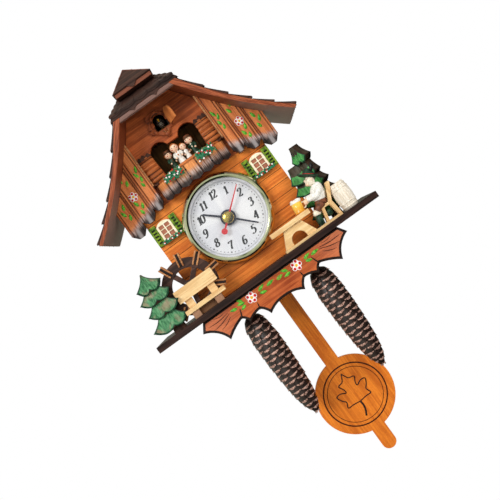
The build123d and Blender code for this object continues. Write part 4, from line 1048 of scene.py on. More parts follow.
def foliage(shape, x, y, z, count, blooms, rng, mats=(0, 1, 2)):
    """Leaves and small blossoms heaped in a box given as (low, high) pairs."""
    leaf, red, white = mats
    for _ in range(count):
        centre = (rng.uniform(*x), rng.uniform(*y), rng.uniform(*z))
        turn = Matrix.Rotation(rng.uniform(0, pi), 3, "Y") @ Matrix.Rotation(rng.uniform(-0.6, 0.6), 3, "X")
        shape.ball(centre, (rng.uniform(0.7, 1.2), 0.35, rng.uniform(0.35, 0.6)), leaf, turn, 7, 4)
    for i in range(blooms):
        centre = (x[0] + (x[1] - x[0]) * (i + rng.random()) / blooms, y[0] - rng.uniform(0, 0.3),
                  rng.uniform(*z))
        tint = red if i % 2 else white
        for k in range(4):
            a = k * pi / 2 + rng.random()
            shape.ball((centre[0] + 0.42 * cos(a), centre[1], centre[2] + 0.42 * sin(a)), (0.46, 0.34, 0.46),
                       tint,
                       segments=7, rings=4)


def flower_boxes():
    """Boxes heaped with leaves and blossoms: two on the balcony rail, one under each window."""
    rng = random.Random(3)
    shape = Shape()
    for side in (-1, 1):
        x = sorted((side * 7.4, side * 25.2))
        shape.box((x[0] + 1, x[1] - 1), (-66.6, -64.2), (-25.4, -20.4), 0)
        foliage(shape, x, (-68.0, -65.4), (-27.4, -19.4), 150, 16, rng)
        w = sorted((side * 39.6, side * 59.0))
        shape.box((w[0] + 1, w[1] - 1), (-49.6, -47.4), (-65.8, -63.0), 0)
        foliage(shape, w, (-50.4, -49.0), (-65.6, -62.6), 90, 9, rng)
    return shape.piece("flower_boxes_planted", ["box_green", "red", "white"], "house", ["flower_boxes"],
                       weld=False)


def siding_paint():
    """Painted sprays: leaves on every board, a flower on the middle one of each side."""
    shape = Shape()
    y = {43: -53.05, 56: -51.55, 70: -50.05}
    for side in (-1, 1):
        for x, z, turn, size in ((43, -2, -20, 7.0), (43, -6, 24, 6.6), (43, -11, -16, 6.0),
                                 (43, -15.5, 18, 5.4)):
            painted_leaf(shape, side * (x - 1), z, turn * side, size, 2.6, y[x])
        for x, z, turn, size in ((55, 3, -14, 7), (56.5, -2, 24, 7), (55, -7, -24, 6.4), (56.5, -26, 20, 6.6),
                                 (54.8, -30, -22, 6.4), (56.2, -34, 14, 5.6)):
            painted_leaf(shape, side * x, z, turn * side, size, 2.8, y[56])
        painted_flower(shape, side * 56, -16.5, 4.3, y[56] - 0.1, (2, 1, 3), turn=12)
        for x, z, turn, size in ((69.5, -22, -16, 7), (70.5, -27, 22, 7), (69.3, -32, -20, 6.4)):
            painted_leaf(shape, side * x, z, turn * side, size, 2.8, y[70])
    return shape.piece("siding_paint", ["green", "red", "white", "yellow"], "house",
                       weld=False)


def doorway_carving():
    """Raised leaves round the bird's doorway."""
    shape = Shape()
    for side in (-1, 1):
        for x, z, turn, size in ((6.8, 14.2, 16, 8.0), (7.6, 20.6, -8, 8.0), (7.0, 27.0, -32, 8.0),
                                 (2.6, 32.2, -66, 5.6)):
            painted_leaf(shape, side * x, z, turn * side, size, 3.6, -47.0, 0, thick=0.34)
    painted_leaf(shape, 0, 15.0, 180, 6.8, 6.0, -47.0, 0, thick=0.34)
    painted_leaf(shape, -9.4, 16.8, -36, 6.4, 3.2, -47.0, 0, thick=0.34)
    arch = [(-6.5, -46.85, 17.2)] + [(-6.5 * cos(a), -46.85, 25.0 + 6.6 * sin(a)) for a in
                                    [pi * i / 12 for i in range(13)]] + [(6.5, -46.85, 17.2)]
    shape.tube(arch, 0.45, 1)
    for z0, z1, x in ((14, 10.6, 0), (16, 12.4, -2.0), (16, 12.4, 2.0)):
        shape.tube([(x, -47.3, z0), (x * 0.5, -47.2, z1)], [0.2, 0.1], 1, segments=6)
        shape.tube([(x + 1.0, -47.3, z0 - 0.6), (x * 0.5 + 0.7, -47.2, z1)], [0.26, 0.12], 3, segments=6)
    for side in (-1, 1):
        shape.box(sorted((side * 6.3, side * 7.0)), (-44.8, -13.4), (19.0, 31.8), 2)
    shape.box((-6.3, 6.3), (-44.8, -13.4), (31.4, 32.2), 2)
    shape.box((-7.0, 7.0), (-13.4, -12.4), (19.4, 32.2), 2)
    return shape.piece("doorway_carving", ["frame", "dark_carved", "hollow", "wheel_edge"], "house")


# ---- figures ------------------------------------------------------------------------------------
def dancer(shape, x, y, z, style, facing, size):
    """A small doll: coat or dress, arms, round head with hair, simple face and hat."""
    coat, skirt, hair, hat, front = style
    turn = Matrix.Rotation(facing, 3, "Z") @ Matrix.Scale(size, 3)
    at = lambda px, py, pz: Vector((x, y, z)) + turn @ Vector((px, py, pz))

    def round_ball(place, radii, mat, *rest, **more):
        shape.ball(at(*place), radii, mat, turn, *rest, **more)

    shape.lathe(at(0, 0, 0), [(0.1, 0), (2.9, 0.2), (2.8, 2.0), (2.2, 5.6), (2.1, 7.2), (2.5, 9.6),
                              (1.2, 11.2),
                              (0.1, 11.4)], skirt, turn, segments=20)
    round_ball((0, 0, 8.8), (2.6, 2.1, 2.8), coat)
    round_ball((0, -1.1, 8.8), (1.1, 1.3, 2.4), front)
    for side in (-1, 1):
        shape.tube([at(side * 2.2, 0, 10.4), at(side * 3.3, -0.8, 8.4), at(side * 2.6, -2.2, 6.8)],
                   [1.1 * size, 1.0 * size, 0.8 * size], coat)
        round_ball((side * 2.5, -2.5, 6.5), (0.8, 0.8, 0.8), 1, segments=10, rings=6)
        round_ball((side * 1.1, -1.8, 0.5), (1.0, 1.5, 0.7), 7, segments=10, rings=6)
    round_ball((0, -0.3, 14.2), (3.2, 2.9, 3.1), 1)
    round_ball((0, 0.7, 14.9), (3.45, 3.0, 3.1), hair)
    for side in (-1, 1):
        round_ball((side * 1.15, -3.0, 14.6), (0.34, 0.22, 0.42), 7, segments=8, rings=6)
        round_ball((side * 1.9, -2.5, 13.5), (0.55, 0.3, 0.42), 2, segments=8, rings=6)
    round_ball((0, -3.25, 13.9), (0.34, 0.34, 0.34), 1, segments=8, rings=6)
    if hat is not None:
        shape.lathe(at(0, 0.3, 15.6), [(0.1, 0), (3.8, 0.1), (3.9, 0.5), (3.0, 0.9), (2.9, 2.2), (2.2, 2.9),
                                       (0.1, 3.0)], hat, turn, segments=20)
        shape.lathe(at(0, 0.3, 16.2), [(2.6, 0), (3.05, 0.1), (3.05, 0.7), (2.6, 0.8)], 0, turn, segments=20)
    else:
        round_ball((0, 1.2, 17.4), (1.7, 1.7, 1.1), hair)


def dancers():
    """Two couples on the turntable."""
    shape = Shape()
    looks = ["coat", "skin", "red", "hair", "shirt", "brown", "cream", "black"]
    spots = [(-11.0, -39.4), (-3.2, -43.6), (3.6, -43.0), (11.2, -39.4)]
    styles = [(0, 0, 3, 5, 5), (4, 4, 3, None, 3), (5, 4, 3, None, 4), (0, 0, 3, 5, 6)]
    turns = [0.35, -0.05, 0.1, -0.3]
    sizes = [1.06, 1.16, 0.94, 1.12]
    for (x, y), style, turn, size in zip(spots, styles, turns, sizes):
        dancer(shape, x, y, -18.0, style, turn, size)
    return shape.piece("dancer_dolls", looks, "stage", ["dancers"], weld=False)


def bird():
    """The cuckoo on its carriage: dark, barred below, with an open yellow beak."""
    shape = Shape()
    tilt = Matrix.Rotation(radians(-25), 3, "X")
    shape.ball((0, -37.0, 23.6), (3.5, 5.2, 3.6), 0, tilt)
    shape.ball((0, -40.6, 26.4), (2.6, 2.7, 2.6), 0)
    shape.ball((0, -38.6, 22.4), (2.7, 4.0, 2.7), 1, tilt)
    for side in (-1, 1):
        shape.ball((side * 3.1, -36.0, 24.0), (0.9, 4.6, 2.1), 0, tilt)
        shape.ball((side * 1.5, -42.6, 27.1), (0.5, 0.35, 0.5), 3, segments=10, rings=6)
        shape.tube([(side * 1.2, -37, 21.5), (side * 1.2, -37, 18.0)], 0.5, 2)
    shape.tube([(0, -42.6, 26.6), (0, -44.2, 27.0), (0, -45.3, 27.0)], [1.0, 0.6, 0.12], 2, segments=10)
    shape.tube([(0, -42.6, 25.6), (0, -43.8, 25.2), (0, -44.8, 25.1)], [0.8, 0.5, 0.1], 2, segments=10)
    shape.prism([(-1.6, 20.4), (1.6, 20.4), (2.2, 21.2), (-2.2, 21.2)], -34, -28.6, 0)
    shape.box((-3.0, 3.0), (-38.0, -20.2), (16.2, 18.2), 4)
    return shape.piece("cuckoo", ["bird", "bird_belly", "yellow", "eye", "ply"], "bird", ["cuckoo_bird"])


def beer_drinker():
    """A seated man in profile, leaning back a little, carved and painted, with a hand on his mug."""
    shape = Shape()
    y = -65.2
    skin, white, brown, green, black, red, cream = range(7)
    lean = Matrix.Rotation(radians(18), 3, "Y")
    shape.ball((72.8, y, -106.4), (6.4, 4.0, 8.8), white, lean)
    shape.ball((70.9, y, -114.4), (6.0, 3.9, 4.4), brown, lean)
    shape.ball((75.2, y, -101.4), (4.4, 3.8, 4.2), white, lean)
    shape.ball((73.0, y, -94.2), (4.3, 3.6, 4.5), cream)
    shape.ball((69.9, y, -91.9), (1.2, 1.0, 1.0), skin, segments=12, rings=8)
    shape.ball((70.0, y, -95.4), (1.9, 2.6, 1.7), skin)
    for side in (-1, 1):
        shape.ball((71.0, y + side * 2.3, -91.8), (0.45, 0.5, 0.45), black, segments=8, rings=6)
        shape.ball((74.9, y + side * 3.3, -93.6), (0.8, 0.6, 1.1), skin, segments=8, rings=6)
    tilt = Matrix.Rotation(radians(35), 3, "Y")
    centre = (74.0, y, -90.2)
    brim = [(0.1, -0.7), (5.0, -0.6), (8.0, 0.0), (9.5, 1.2), (9.7, 1.6), (9.2, 1.7), (7.4, 0.8), (5.0, 0.5),
            (0.1, 0.6)]
    shape.lathe(centre, brim, green, tilt @ Matrix.Diagonal((1.0, 0.6, 1.0)))
    crown = [(0.1, 0.1), (5.3, 0.2), (5.2, 1.0), (4.4, 4.2), (3.0, 6.2), (1.4, 6.9), (0.1, 6.9)]
    shape.lathe(centre, crown, green, tilt @ Matrix.Diagonal((1.0, 0.72, 1.0)))
    shape.lathe(centre, [(4.9, 0.7), (5.6, 0.8), (5.4, 2.3), (4.7, 2.4)], red,
                tilt @ Matrix.Diagonal((1.0, 0.73, 1.0)))
    plume = [(78.6, y - 3.2, -88.0), (81.0, y - 3.4, -84.4), (82.4, y - 3.2, -81.6)]
    shape.tube(smooth_path(plume, 4), [0.7, 1.0, 1.3, 1.5, 1.6, 1.5, 1.2, 0.8, 0.2], black)
    for side in (-1, 1):
        depth = y + side * 2.7
        arm = [(76.0, depth, -102.4), (70.6, depth + side * 0.4, -106.6), (65.4, depth, -106.0),
               (62.4, y + side * 2.0, -105.4)]
        shape.tube(smooth_path(arm, 5), [3.2] * 5 + [3.3] * 5 + [2.9] * 6, white)
        shape.tube(smooth_path([(63.2, y + side * 2.0, -105.6), (60.6, y + side * 1.6, -106.6),
                                (58.2, y + side * 1.2, -106.4)],
                               4), [2.5, 2.5, 2.4, 2.3, 2.3, 2.4, 2.4, 2.0, 1.0], skin)
        thigh = [(71.0, depth, -115.6), (66.0, depth, -116.8), (63.4, depth, -118.4)]
        shape.tube(smooth_path(thigh, 4), [3.2] * 5 + [3.0] * 4, brown)
        shape.ball((62.3, depth, -119.4), (3.6, 2.4, 3.2), cream)
        shape.tube([(62.0, depth, -121.4), (61.0, depth, -126.0), (60.6, depth, -130.4)], [2.7, 2.9, 2.5],
                   green)
        shape.ball((59.8, depth, -130.6), (3.6, 2.2, 1.8), black)
    shape.ball((71.0, y - 0.4, -125.0), (3.4, 3.0, 3.2), green)
    return shape.piece("drinker", ["skin", "shirt", "brown", "coat", "black", "red", "cream"], "house",
                       ["beer_drinker"], weld=False)


def beer_mug():
    """A ribbed glass of beer with a head of foam, tipped a little towards its drinker."""
    shape = Shape()
    foot = Vector((51.6, -65.2, -111.5))
    tip = Matrix.Rotation(radians(7), 3, "Y")
    at = lambda x, y, z: foot + tip @ Vector((x, y, z))
    shape.lathe(foot, [(0.1, 0), (4.3, 0), (4.8, 0.6), (4.5, 1.4), (4.7, 5), (4.5, 9.2), (0.1, 9.3)], 0, tip,
                segments=12)
    rng = random.Random(2)
    shape.ball(at(0, 0, 10.0), (4.9, 4.9, 1.9), 1, tip)
    for _ in range(26):
        a, r = rng.uniform(0, 2 * pi), rng.uniform(0.5, 4.2)
        shape.ball(at(r * cos(a), r * sin(a), 10.9 + rng.uniform(-0.6, 0.8)), (1.3, 1.3, 1.0), 1, None, 10, 6)
    handle = [at(4.2, 0, 7.6), at(6.6, 0, 6.8), at(6.6, 0, 3.2), at(4.4, 0, 2.2)]
    shape.tube(smooth_path(handle, 5), 0.7, 2)
    return shape.piece("beer_mug", ["beer", "foam", "cream"], "house")


def fir_tier(shape, x, y_front, y_back, spec, mats, shift=0.0):
    """One whorl of boughs: two hanging lobes, a middle ridge, tips turned up, a flat rear.

    spec: top z, notch z, lobe drop, tip rise, left half, right half, top share
    mats: face, rim, side, low
    """
    top, notch, drop, rise, left, right, neck = spec
    face, rim, side, low = mats
    steps, across = 12, 28
    rows = []
    for i in range(steps + 1):
        t = i / steps
        front, back = [], []
        for j in range(across + 1):
            u = 2 * j / across - 1
            reach = (right if u > 0 else left) * (neck + (1 - neck) * (0.35 * t + 0.65 * t ** 2.2))
            foot = notch - drop * sin(pi * min(1.0, abs(u) * 1.06) ** 0.9) ** 0.8 + rise * abs(u) ** 3
            z = top + (foot - top) * t
            px = x + u * reach
            ridge = (1 - abs(u)) ** 1.4
            hollow = 0.9 * sin(pi * abs(u)) * t
            feather = 0.55 * sin(15 * abs(u) + 5.0 * t + 0.8 * top) * t * (1 - abs(u) ** 4)
            share = 0.34 + 0.30 * t + 0.34 * ridge * (0.45 + 0.55 * t) + 0.12 * abs(u) ** 3
            depth = (y_back - y_front) * share
            y = y_back - depth + hollow + feather + 0.4 * noise.noise(Vector((px * 0.3, z * 0.3, 1.0)))
            front.append((px - shift / 2, y, z))
            back.append((px + shift / 2, y_back, z + 0.4 * shift * 0.1))
        rows.append(front + back[::-1])
    start = len(shape.faces)
    shape.capped(rows, side)
    ring_len = 2 * (across + 1)
    for i in range(steps):
        for j in range(across):
            edge = i >= steps - 1 or j < 1 or j >= across - 1
            shape.mats[start + i * ring_len + j] = rim if edge else (low if i >= steps * 0.45 else face)


def trunk(shape, x, y_front, y_back, half, foot, top, mat):
    """A flat-backed tapering stem."""
    shape.capped([[(x - half * k, y_front + 2, z), (x, y_front + 0.8, z), (x + half * k, y_front + 2, z),
                   (x + half * k, y_back, z), (x - half * k, y_back, z)]
                  for z, k in ((foot, 1.0), (top, 0.7))], mat,
                 False)


def trees():
    """A narrow fir at the left; at the right a thick cut-out one whose dark flank shows."""
    left = Shape()
    tiers = [(-112.0, -125.8, 3.0, 3.6, 19.0, 14.6, 0.42), (-99.6, -112.4, 3.0, 3.2, 14.8, 15.4, 0.40),
             (-88.6, -100.6, 3.0, 3.4, 15.0, 15.0, 0.40), (-75.2, -89.8, 3.6, 3.0, 11.4, 12.6, 0.03)]
    trunk(left, -86.6, -69.0, -64.2, 6.0, SHELF_TOP, -118.0, 1)
    for number, spec in enumerate(tiers):
        fir_tier(left, -88.2, -73.4 + 0.5 * number, -64.2, spec, (0, 2, 1, 0))
    left.piece("fir_left", ["tree", "bark", "tree_rim"], "house", ["tree_left"])
    right = Shape()
    tiers = [(-111.0, -124.5, 2.4, 2.0, 17.5, 15.5, 0.5), (-99.6, -112.0, 2.6, 2.0, 17.0, 14.0, 0.5),
             (-88.0, -100.6, 2.6, 2.0, 17.2, 12.0, 0.55), (-75.4, -90.0, 2.6, 1.0, 15.0, 10.2, 0.62),
             (-60.8, -75.6, 2.6, 2.2, 6.6, 7.2, 0.18)]
    trunk(right, 77.8, -56.0, -47.0, 5.0, SHELF_TOP, -116.0, 2)
    for spec in tiers:
        middle = 76.2 if spec[0] < -70 else 79.6
        fir_tier(right, middle + 1.0, -57.0, -46.8, spec, (0, 3, 2, 1), shift=6.6)
    right.piece("fir_right", ["tree_dark", "tree_low", "tree_flank", "tree_rim"], "house", ["tree_right"])


def ring(shape, x, z, r_in, r_out, y_front, y_back, mat=0, segments=48):
    """A flat ring facing -Y."""
    loops = []
    for r, y in ((r_in, y_front), (r_out, y_front), (r_out, y_back), (r_in, y_back), (r_in, y_front)):
        loops.append([(x + r * cos(2 * pi * j / segments), y, z + r * sin(2 * pi * j / segments))
                      for j in range(segments)])
    shape.grid(loops, mat, False, loop=True)


def water_wheel():
    """Rim, hub, five spokes and ten buckets: each bucket is two pale side boards with a near-black block
    filling the gap between them as painted shade.
    """
    shape = Shape()
    x, z = WHEEL_AXIS
    ring(shape, x, z, 16.0, 24.8, -61.0, -57.4)
    ring(shape, x, z, 1.3, 5.8, -61.6, -56.8)
    for i in range(5):
        turn = Matrix.Translation((x, 0, z)) @ Matrix.Rotation(-radians(44 + 72 * i), 4, "Y")
        shape.box((5.0, 17.0), (-60.4, -58.0), (-2.2, 2.2), 0, turn)
    for i in range(10):
        turn = Matrix.Translation((x, 0, z)) @ Matrix.Rotation(-radians(8 + 36 * i), 4, "Y")
        for low in (-2.5, 1.1):
            shape.box((18.2, 30.2), (-62.3, -56.1), (low, low + 1.4), 1, turn)
        # A near-black block fills the gap between the two side boards: painted shade.
        shape.box((18.6, 29.8), (-61.8, -56.4), (-1.1, 1.1), 2, turn)
    return shape.piece("mill_wheel", ["wheel", "wheel_edge", "burnt"], "wheel", ["water_wheel"],
                       bevel=0.35)


def barrel():
    """Coopered staves and rope-like hoops."""
    shape = Shape()
    x, y, foot, height = 89.0, -65.6, SHELF_TOP, 24.6
    rows = []
    for i in range(15):
        t = i / 14
        radius = 5.9 + 2.1 * sin(pi * (0.06 + 0.88 * t))
        rows.append([(x + radius * (1 - 0.015 * (j % 4 == 0)) * cos(2 * pi * j / 48),
                      y + radius * (1 - 0.015 * (j % 4 == 0)) * sin(2 * pi * j / 48), foot + height * t)
                     for j in range(48)])
    top = [(x + 5.2 * cos(2 * pi * j / 48), y + 5.2 * sin(2 * pi * j / 48), foot + height) for j in range(48)]
    rows.append(top)
    rows.append([(px, py, pz - 0.8) for px, py, pz in top])
    shape.capped(rows, 0)
    for t in (0.10, 0.24, 0.76, 0.90):
        radius = 5.95 + 2.1 * sin(pi * (0.06 + 0.88 * t))
        z = foot + height * t
        profile = [(radius - 0.5, z - 0.8), (radius + 0.2, z - 0.6), (radius + 0.25, z + 0.6),
                   (radius - 0.5, z + 0.8)]
        loops = [[(x + r * cos(2 * pi * j / 48), y + r * sin(2 * pi * j / 48), h) for j in range(48)]
                 for r, h in [*profile, profile[0]]]
        shape.grid(loops, 0, True, loop=True)
    return shape.piece("cask", ["barrel"], "house", ["barrel"])


# ---- apron and pendulum ---------------------------------------------------------------------------
def apron_half():
    """The apron's right-hand lower edge, from the shelf down to the middle."""
    tip, low_tip, notch, lobe, notch2, fang = ((73.9, -146.2), (57.4, -163.2), (39.9, -154.3), (35.2, -161.0),
                                               (22.9, -156.6), (17.2, -165.2))
    points = [(68.5, -138.0)]
    points += arc(tip, (63.5, -152.6), low_tip, 8)
    points += arc(low_tip, (48.2, -157.6), notch, 5)[1:]
    points += arc(notch, (37.0, -157.2), lobe, 4)[1:]
    points += arc(lobe, (29.0, -157.8), notch2, 4)[1:]
    points += arc(notch2, (19.4, -160.4), fang, 4)[1:]
    return points + arc(fang, (8.8, -161.2), (0, -160.2), 5)[1:]


def inset(outline, distance):
    """The same outline drawn in by a distance, corner by corner."""
    turning = sum(a[0] * b[1] - b[0] * a[1] for a, b in zip(outline, outline[1:] + outline[:1]))
    sign = 1 if turning > 0 else -1
    moved = []
    for before, here, after in zip(outline[-1:] + outline[:-1], outline, outline[1:] + outline[:1]):
        first = Vector((here[0] - before[0], here[1] - before[1])).normalized()
        second = Vector((after[0] - here[0], after[1] - here[1])).normalized()
        inward = Vector((-(first.y + second.y), first.x + second.x)).normalized() * sign
        square = max(0.6, inward.dot(Vector((-first.y, first.x)) * sign))
        moved.append((here[0] + inward.x * distance / square, here[1] + inward.y * distance / square))
    return moved


def apron():
    """The carved board under the shelf, with a dark burnt edge, carved veins and painted flowers."""
    half = apron_half()
    outline = half + [(-x, z) for x, z in reversed(half[:-1])]
    shape = Shape()
    n = len(outline)
    loops = [[(x, y, z) for x, z in ring] for ring, y in
             ((inset(outline, APRON_BORDER), APRON_FRONT), (inset(outline, 1.0), APRON_FRONT + 0.4),
              (outline, APRON_FRONT + 1.6), (outline, APRON_BACK))]
    verts = [point for loop in loops for point in loop]
    shape.add(verts, [tuple(range(n)), tuple(range(4 * n - 1, 3 * n - 1, -1))], 0, False)
    shape.add(verts, [(k * n + i, (k + 1) * n + i, (k + 1) * n + (i + 1) % n, k * n + (i + 1) % n)
                      for k in range(3) for i in range(n)], 1, False)
    shape.piece("apron", ["apron", "burnt"], "house", ["apron_board"])
    veins = Shape()
    for side in (-1, 1):
        for start, end, width in (((47, -143.4), (66.5, -144.6), 0.34), ((46, -144.6), (64.0, -149.2), 0.34),
                                  ((47, -147.6), (58.5, -152.2), 0.28), ((50, -141.8), (60, -141.0), 0.22),
                                  ((36.6, -146.4), (40.1, -154.6), 0.62),
                                  ((21.8, -150.6), (23.1, -157.0), 0.5)):
            middle = ((start[0] + end[0]) / 2, (start[1] + end[1]) / 2 - 0.8)
            path = smooth_path([(side * p[0], APRON_FRONT, p[1]) for p in (start, middle, end)], 5)
            ends = len(path) - 1
            radii = [width * (0.15 + 0.85 * sin(pi * (0.08 + 0.86 * i / ends))) for i in range(len(path))]
            veins.tube(path, radii, 0, segments=6)
    veins.piece("apron_veins", ["burnt"], "house")
    paint = Shape()
    y = APRON_FRONT
    for x in (-23.2, 22.6):
        painted_flower(paint, x, -144.6, 5.0, y, (2, 1, 3), turn=20)
    for x, z, turn, size in ((-30, -144.6, -78, 7.5), (-31, -143.2, -48, 6), (-30.6, -146.4, -112, 6),
                             (-38, -145, -80, 7),
                             (-15.6, -144, 66, 8.0), (-15.8, -145.8, 104, 7.0), (-7.6, -144.2, 80, 8.4),
                             (2.2, -145, 80, 7),
                             (15.6, -145.8, -100, 7), (14.6, -144.0, -60, 7), (30.4, -144.4, 72, 7.6),
                             (30.8, -146.2, 108, 6.4),
                             (37.4, -144.8, 84, 8.4)):
        painted_leaf(paint, x, z, turn, size, 2.9, y)
    painted_leaf(paint, 2.4, -145.2, 74, 6.4, 3.4, y, 4)
    paint.piece("apron_paint", ["green", "red", "white", "yellow", "lime"], "house",
                weld=False)


def pendulum_leaf():
    """A leaf's outline, engraved and darkened on the bob: three points above, two a side, and a stem."""
    shape = Shape()
    z0, y = LEAF_Z, BOB_FRONT
    right = [(0, 20.5), (2.2, 15.8), (4.0, 13.6), (8.6, 12.2), (6.4, 7.6), (6.3, 3.8), (11.2, 6.0),
             (15.6, 5.0),
             (13.6, 0.0), (10.8, -3.4), (12.6, -8.6), (7.2, -8.8), (0.2, -9.6)]
    for side in (-1, 1):
        path = smooth_path([(side * x, y, z0 + z) for x, z in right], 4)
        shape.tube(path, 0.5, 0, segments=8)
    stem = smooth_path([(0, y, z0 - 9.6), (0.4, y, z0 - 14.4), (-0.8, y, z0 - 19), (-3.0, y, z0 - 23.4)], 4)
    shape.tube(stem, 0.8, 0, segments=8)
    return shape.piece("bob_leaf", ["burnt"], "pendulum")


# ---- cones ----------------------------------------------------------------------------------
CONE_PROFILE = [(-158.0, 4.0), (-161.0, 8.4), (-168.0, 11.2), (-182.0, 12.5), (-200.0, 12.5), (-222.0, 11.6),
                (-240.0, 9.8), (-252.0, 7.0), (-260.0, 2.6)]


def cone_radius(z):
    for (z0, r0), (z1, r1) in zip(CONE_PROFILE, CONE_PROFILE[1:]):
        if z1 <= z <= z0:
            t = (z0 - z) / (z0 - z1)
            return r0 + (r1 - r0) * t
    return CONE_PROFILE[0][1] if z > CONE_PROFILE[0][0] else CONE_PROFILE[-1][1]


def cone_scale(shape, cx, cy, z, turn, width, height, rng):
    """One scale: a rounded shield that laps the row below; its lip is painted bright copper as a highlight.
    """
    rows, cols = 8, 8
    lift = rng.uniform(0.35, 0.6)
    tilt = rng.uniform(-0.5, 0.5)
    rings = []
    for i in range(rows + 1):
        t = i / rows
        half = 1.0 if t < 0.42 else sqrt(max(0.0, 1 - ((t - 0.42) / 0.585) ** 2))
        outer, inner = [], []
        for j in range(cols + 1):
            u = 2 * j / cols - 1
            a = turn + u * width / 2 * max(half, 0.10)
            pz = z - height * t + tilt * u * half
            crown = 0.9 * (1 - (u * half) ** 2) * (0.3 + 0.7 * t)
            r = cone_radius(pz) - 1.3 + lift * t ** 1.6 + crown
            outer.append((cx + r * cos(a), cy + r * sin(a), pz))
            inner.append((cx + (r - 0.7) * cos(a), cy + (r - 0.7) * sin(a), pz + 0.2))
        rings.append(outer + inner[::-1])
    start = len(shape.faces)
    shape.capped(rings, 0)
    per_row = len(rings[0])
    # The lip faces take the pale copper: a painted highlight.
    for i in (rows - 2, rows - 1):
        for k in range(cols):
            shape.mats[start + per_row * i + k] = 1
    shape.mats[-1] = 1


def fir_cone(name, body, node, x):
    rng = random.Random(17 if x < 0 else 23)
    shape = Shape()
    y = CONE_Y
    core = [(r * 0.86, z) for z, r in CONE_PROFILE]
    shape.lathe((x, y, 0), [(0.1, -157.6), *core, (0.1, -260.4)], 0)
    for row in range(20):
        z = -158.0 - row * 5.0
        radius = cone_radius(z - 4)
        count = max(5, int(round(2 * pi * radius / 10.4)))
        for i in range(count):
            turn = 2 * pi * (i + 0.5 * (row % 2)) / count + rng.uniform(-0.04, 0.04)
            cone_scale(shape, x, y, z + rng.uniform(-0.5, 0.5), turn, 2 * pi / count * 1.2, 8.6, rng)
    shape.tube([(x, y, -159), (x, y, -149)], 0.7, 2)
    eye = [(x, y + 2.6 * cos(2 * pi * i / 24), -146.28 + 2.6 * sin(2 * pi * i / 24)) for i in range(25)]
    shape.tube(eye, 0.7, 2)
    return shape.piece(name, ["cone", "cone_lip_highlight", "wire"], body, [node], weld=False)


# ---- dial ------------------------------------------------------------------------------------
DIGITS = {
    "1": [[(0.14, 0.78), (0.26, 0.86), (0.36, 0.99)], [(0.36, 0.99), (0.36, 0.03)],
          [(0.16, 0.02), (0.56, 0.02)]],
    "2": [[(0.10, 0.72), (0.16, 0.92), (0.34, 1.0), (0.52, 0.88), (0.52, 0.68), (0.36, 0.42), (0.08, 0.07)],
          [(0.08, 0.06), (0.30, 0.08), (0.48, 0.02), (0.60, 0.16)]],
    "3": [[(0.12, 0.82), (0.24, 0.98), (0.44, 0.95), (0.51, 0.78), (0.40, 0.60), (0.26, 0.54)],
          [(0.26, 0.54), (0.48, 0.50), (0.56, 0.28), (0.44, 0.06), (0.24, 0.0), (0.08, 0.14)]],
    "4": [[(0.46, 1.0), (0.24, 0.62), (0.03, 0.30)], [(0.03, 0.30), (0.62, 0.30)],
          [(0.46, 1.0), (0.46, 0.02)],
          [(0.32, 0.01), (0.60, 0.01)]],
    "5": [[(0.20, 0.97), (0.58, 0.99)], [(0.20, 0.97), (0.14, 0.56)],
          [(0.14, 0.56), (0.34, 0.62), (0.54, 0.46), (0.54, 0.20), (0.36, 0.02), (0.14, 0.01), (0.05, 0.14)]],
    "6": [[(0.55, 0.90), (0.42, 1.0), (0.22, 0.86), (0.09, 0.46), (0.13, 0.12), (0.31, 0.0), (0.50, 0.12),
           (0.54, 0.36), (0.40, 0.54), (0.22, 0.50), (0.11, 0.34)]],
    "7": [[(0.08, 0.80), (0.12, 0.96), (0.40, 0.95), (0.60, 0.99)],
          [(0.60, 0.99), (0.40, 0.58), (0.30, 0.30), (0.28, 0.0)]],
    "8": [[(0.31, 0.54), (0.14, 0.66), (0.16, 0.90), (0.31, 1.0), (0.46, 0.90), (0.48, 0.66), (0.31, 0.54),
           (0.12, 0.40), (0.09, 0.14), (0.31, 0.0), (0.53, 0.14), (0.50, 0.40), (0.31, 0.54)]],
    "9": [[(0.07, 0.10), (0.20, 0.0), (0.40, 0.14), (0.53, 0.54), (0.49, 0.88), (0.31, 1.0), (0.12, 0.88),
           (0.08, 0.64), (0.22, 0.46), (0.40, 0.50), (0.51, 0.66)]],
    "0": [[(0.31, 1.0), (0.12, 0.84), (0.07, 0.50), (0.12, 0.16), (0.31, 0.0), (0.50, 0.16), (0.55, 0.50),
           (0.50, 0.84), (0.31, 1.0)]],
}


def pen_stroke(shape, path, thick, thin, y, mat=0):
    """A ribbon whose width follows a pen held level: broad down strokes, fine cross strokes."""
    points = [Vector((x, 0, z)) for x, z in path]
    if len(path) > 2:
        points = smooth_path([(x, 0, z) for x, z in path], 6)
    front = []
    for i, point in enumerate(points):
        ahead = points[min(i + 1, len(points) - 1)] - points[max(i - 1, 0)]
        ahead.normalize()
        width = thin + (thick - thin) * abs(ahead.z) ** 1.5
        side = Vector((ahead.z, 0, -ahead.x)) * width / 2
        front.append([(p.x, y, p.z) for p in (point - side, point + side)])
    rings = [[*pair, (pair[1][0], y + 0.12, pair[1][2]), (pair[0][0], y + 0.12, pair[0][2])]
             for pair in front]
    shape.capped(rings, mat, False)


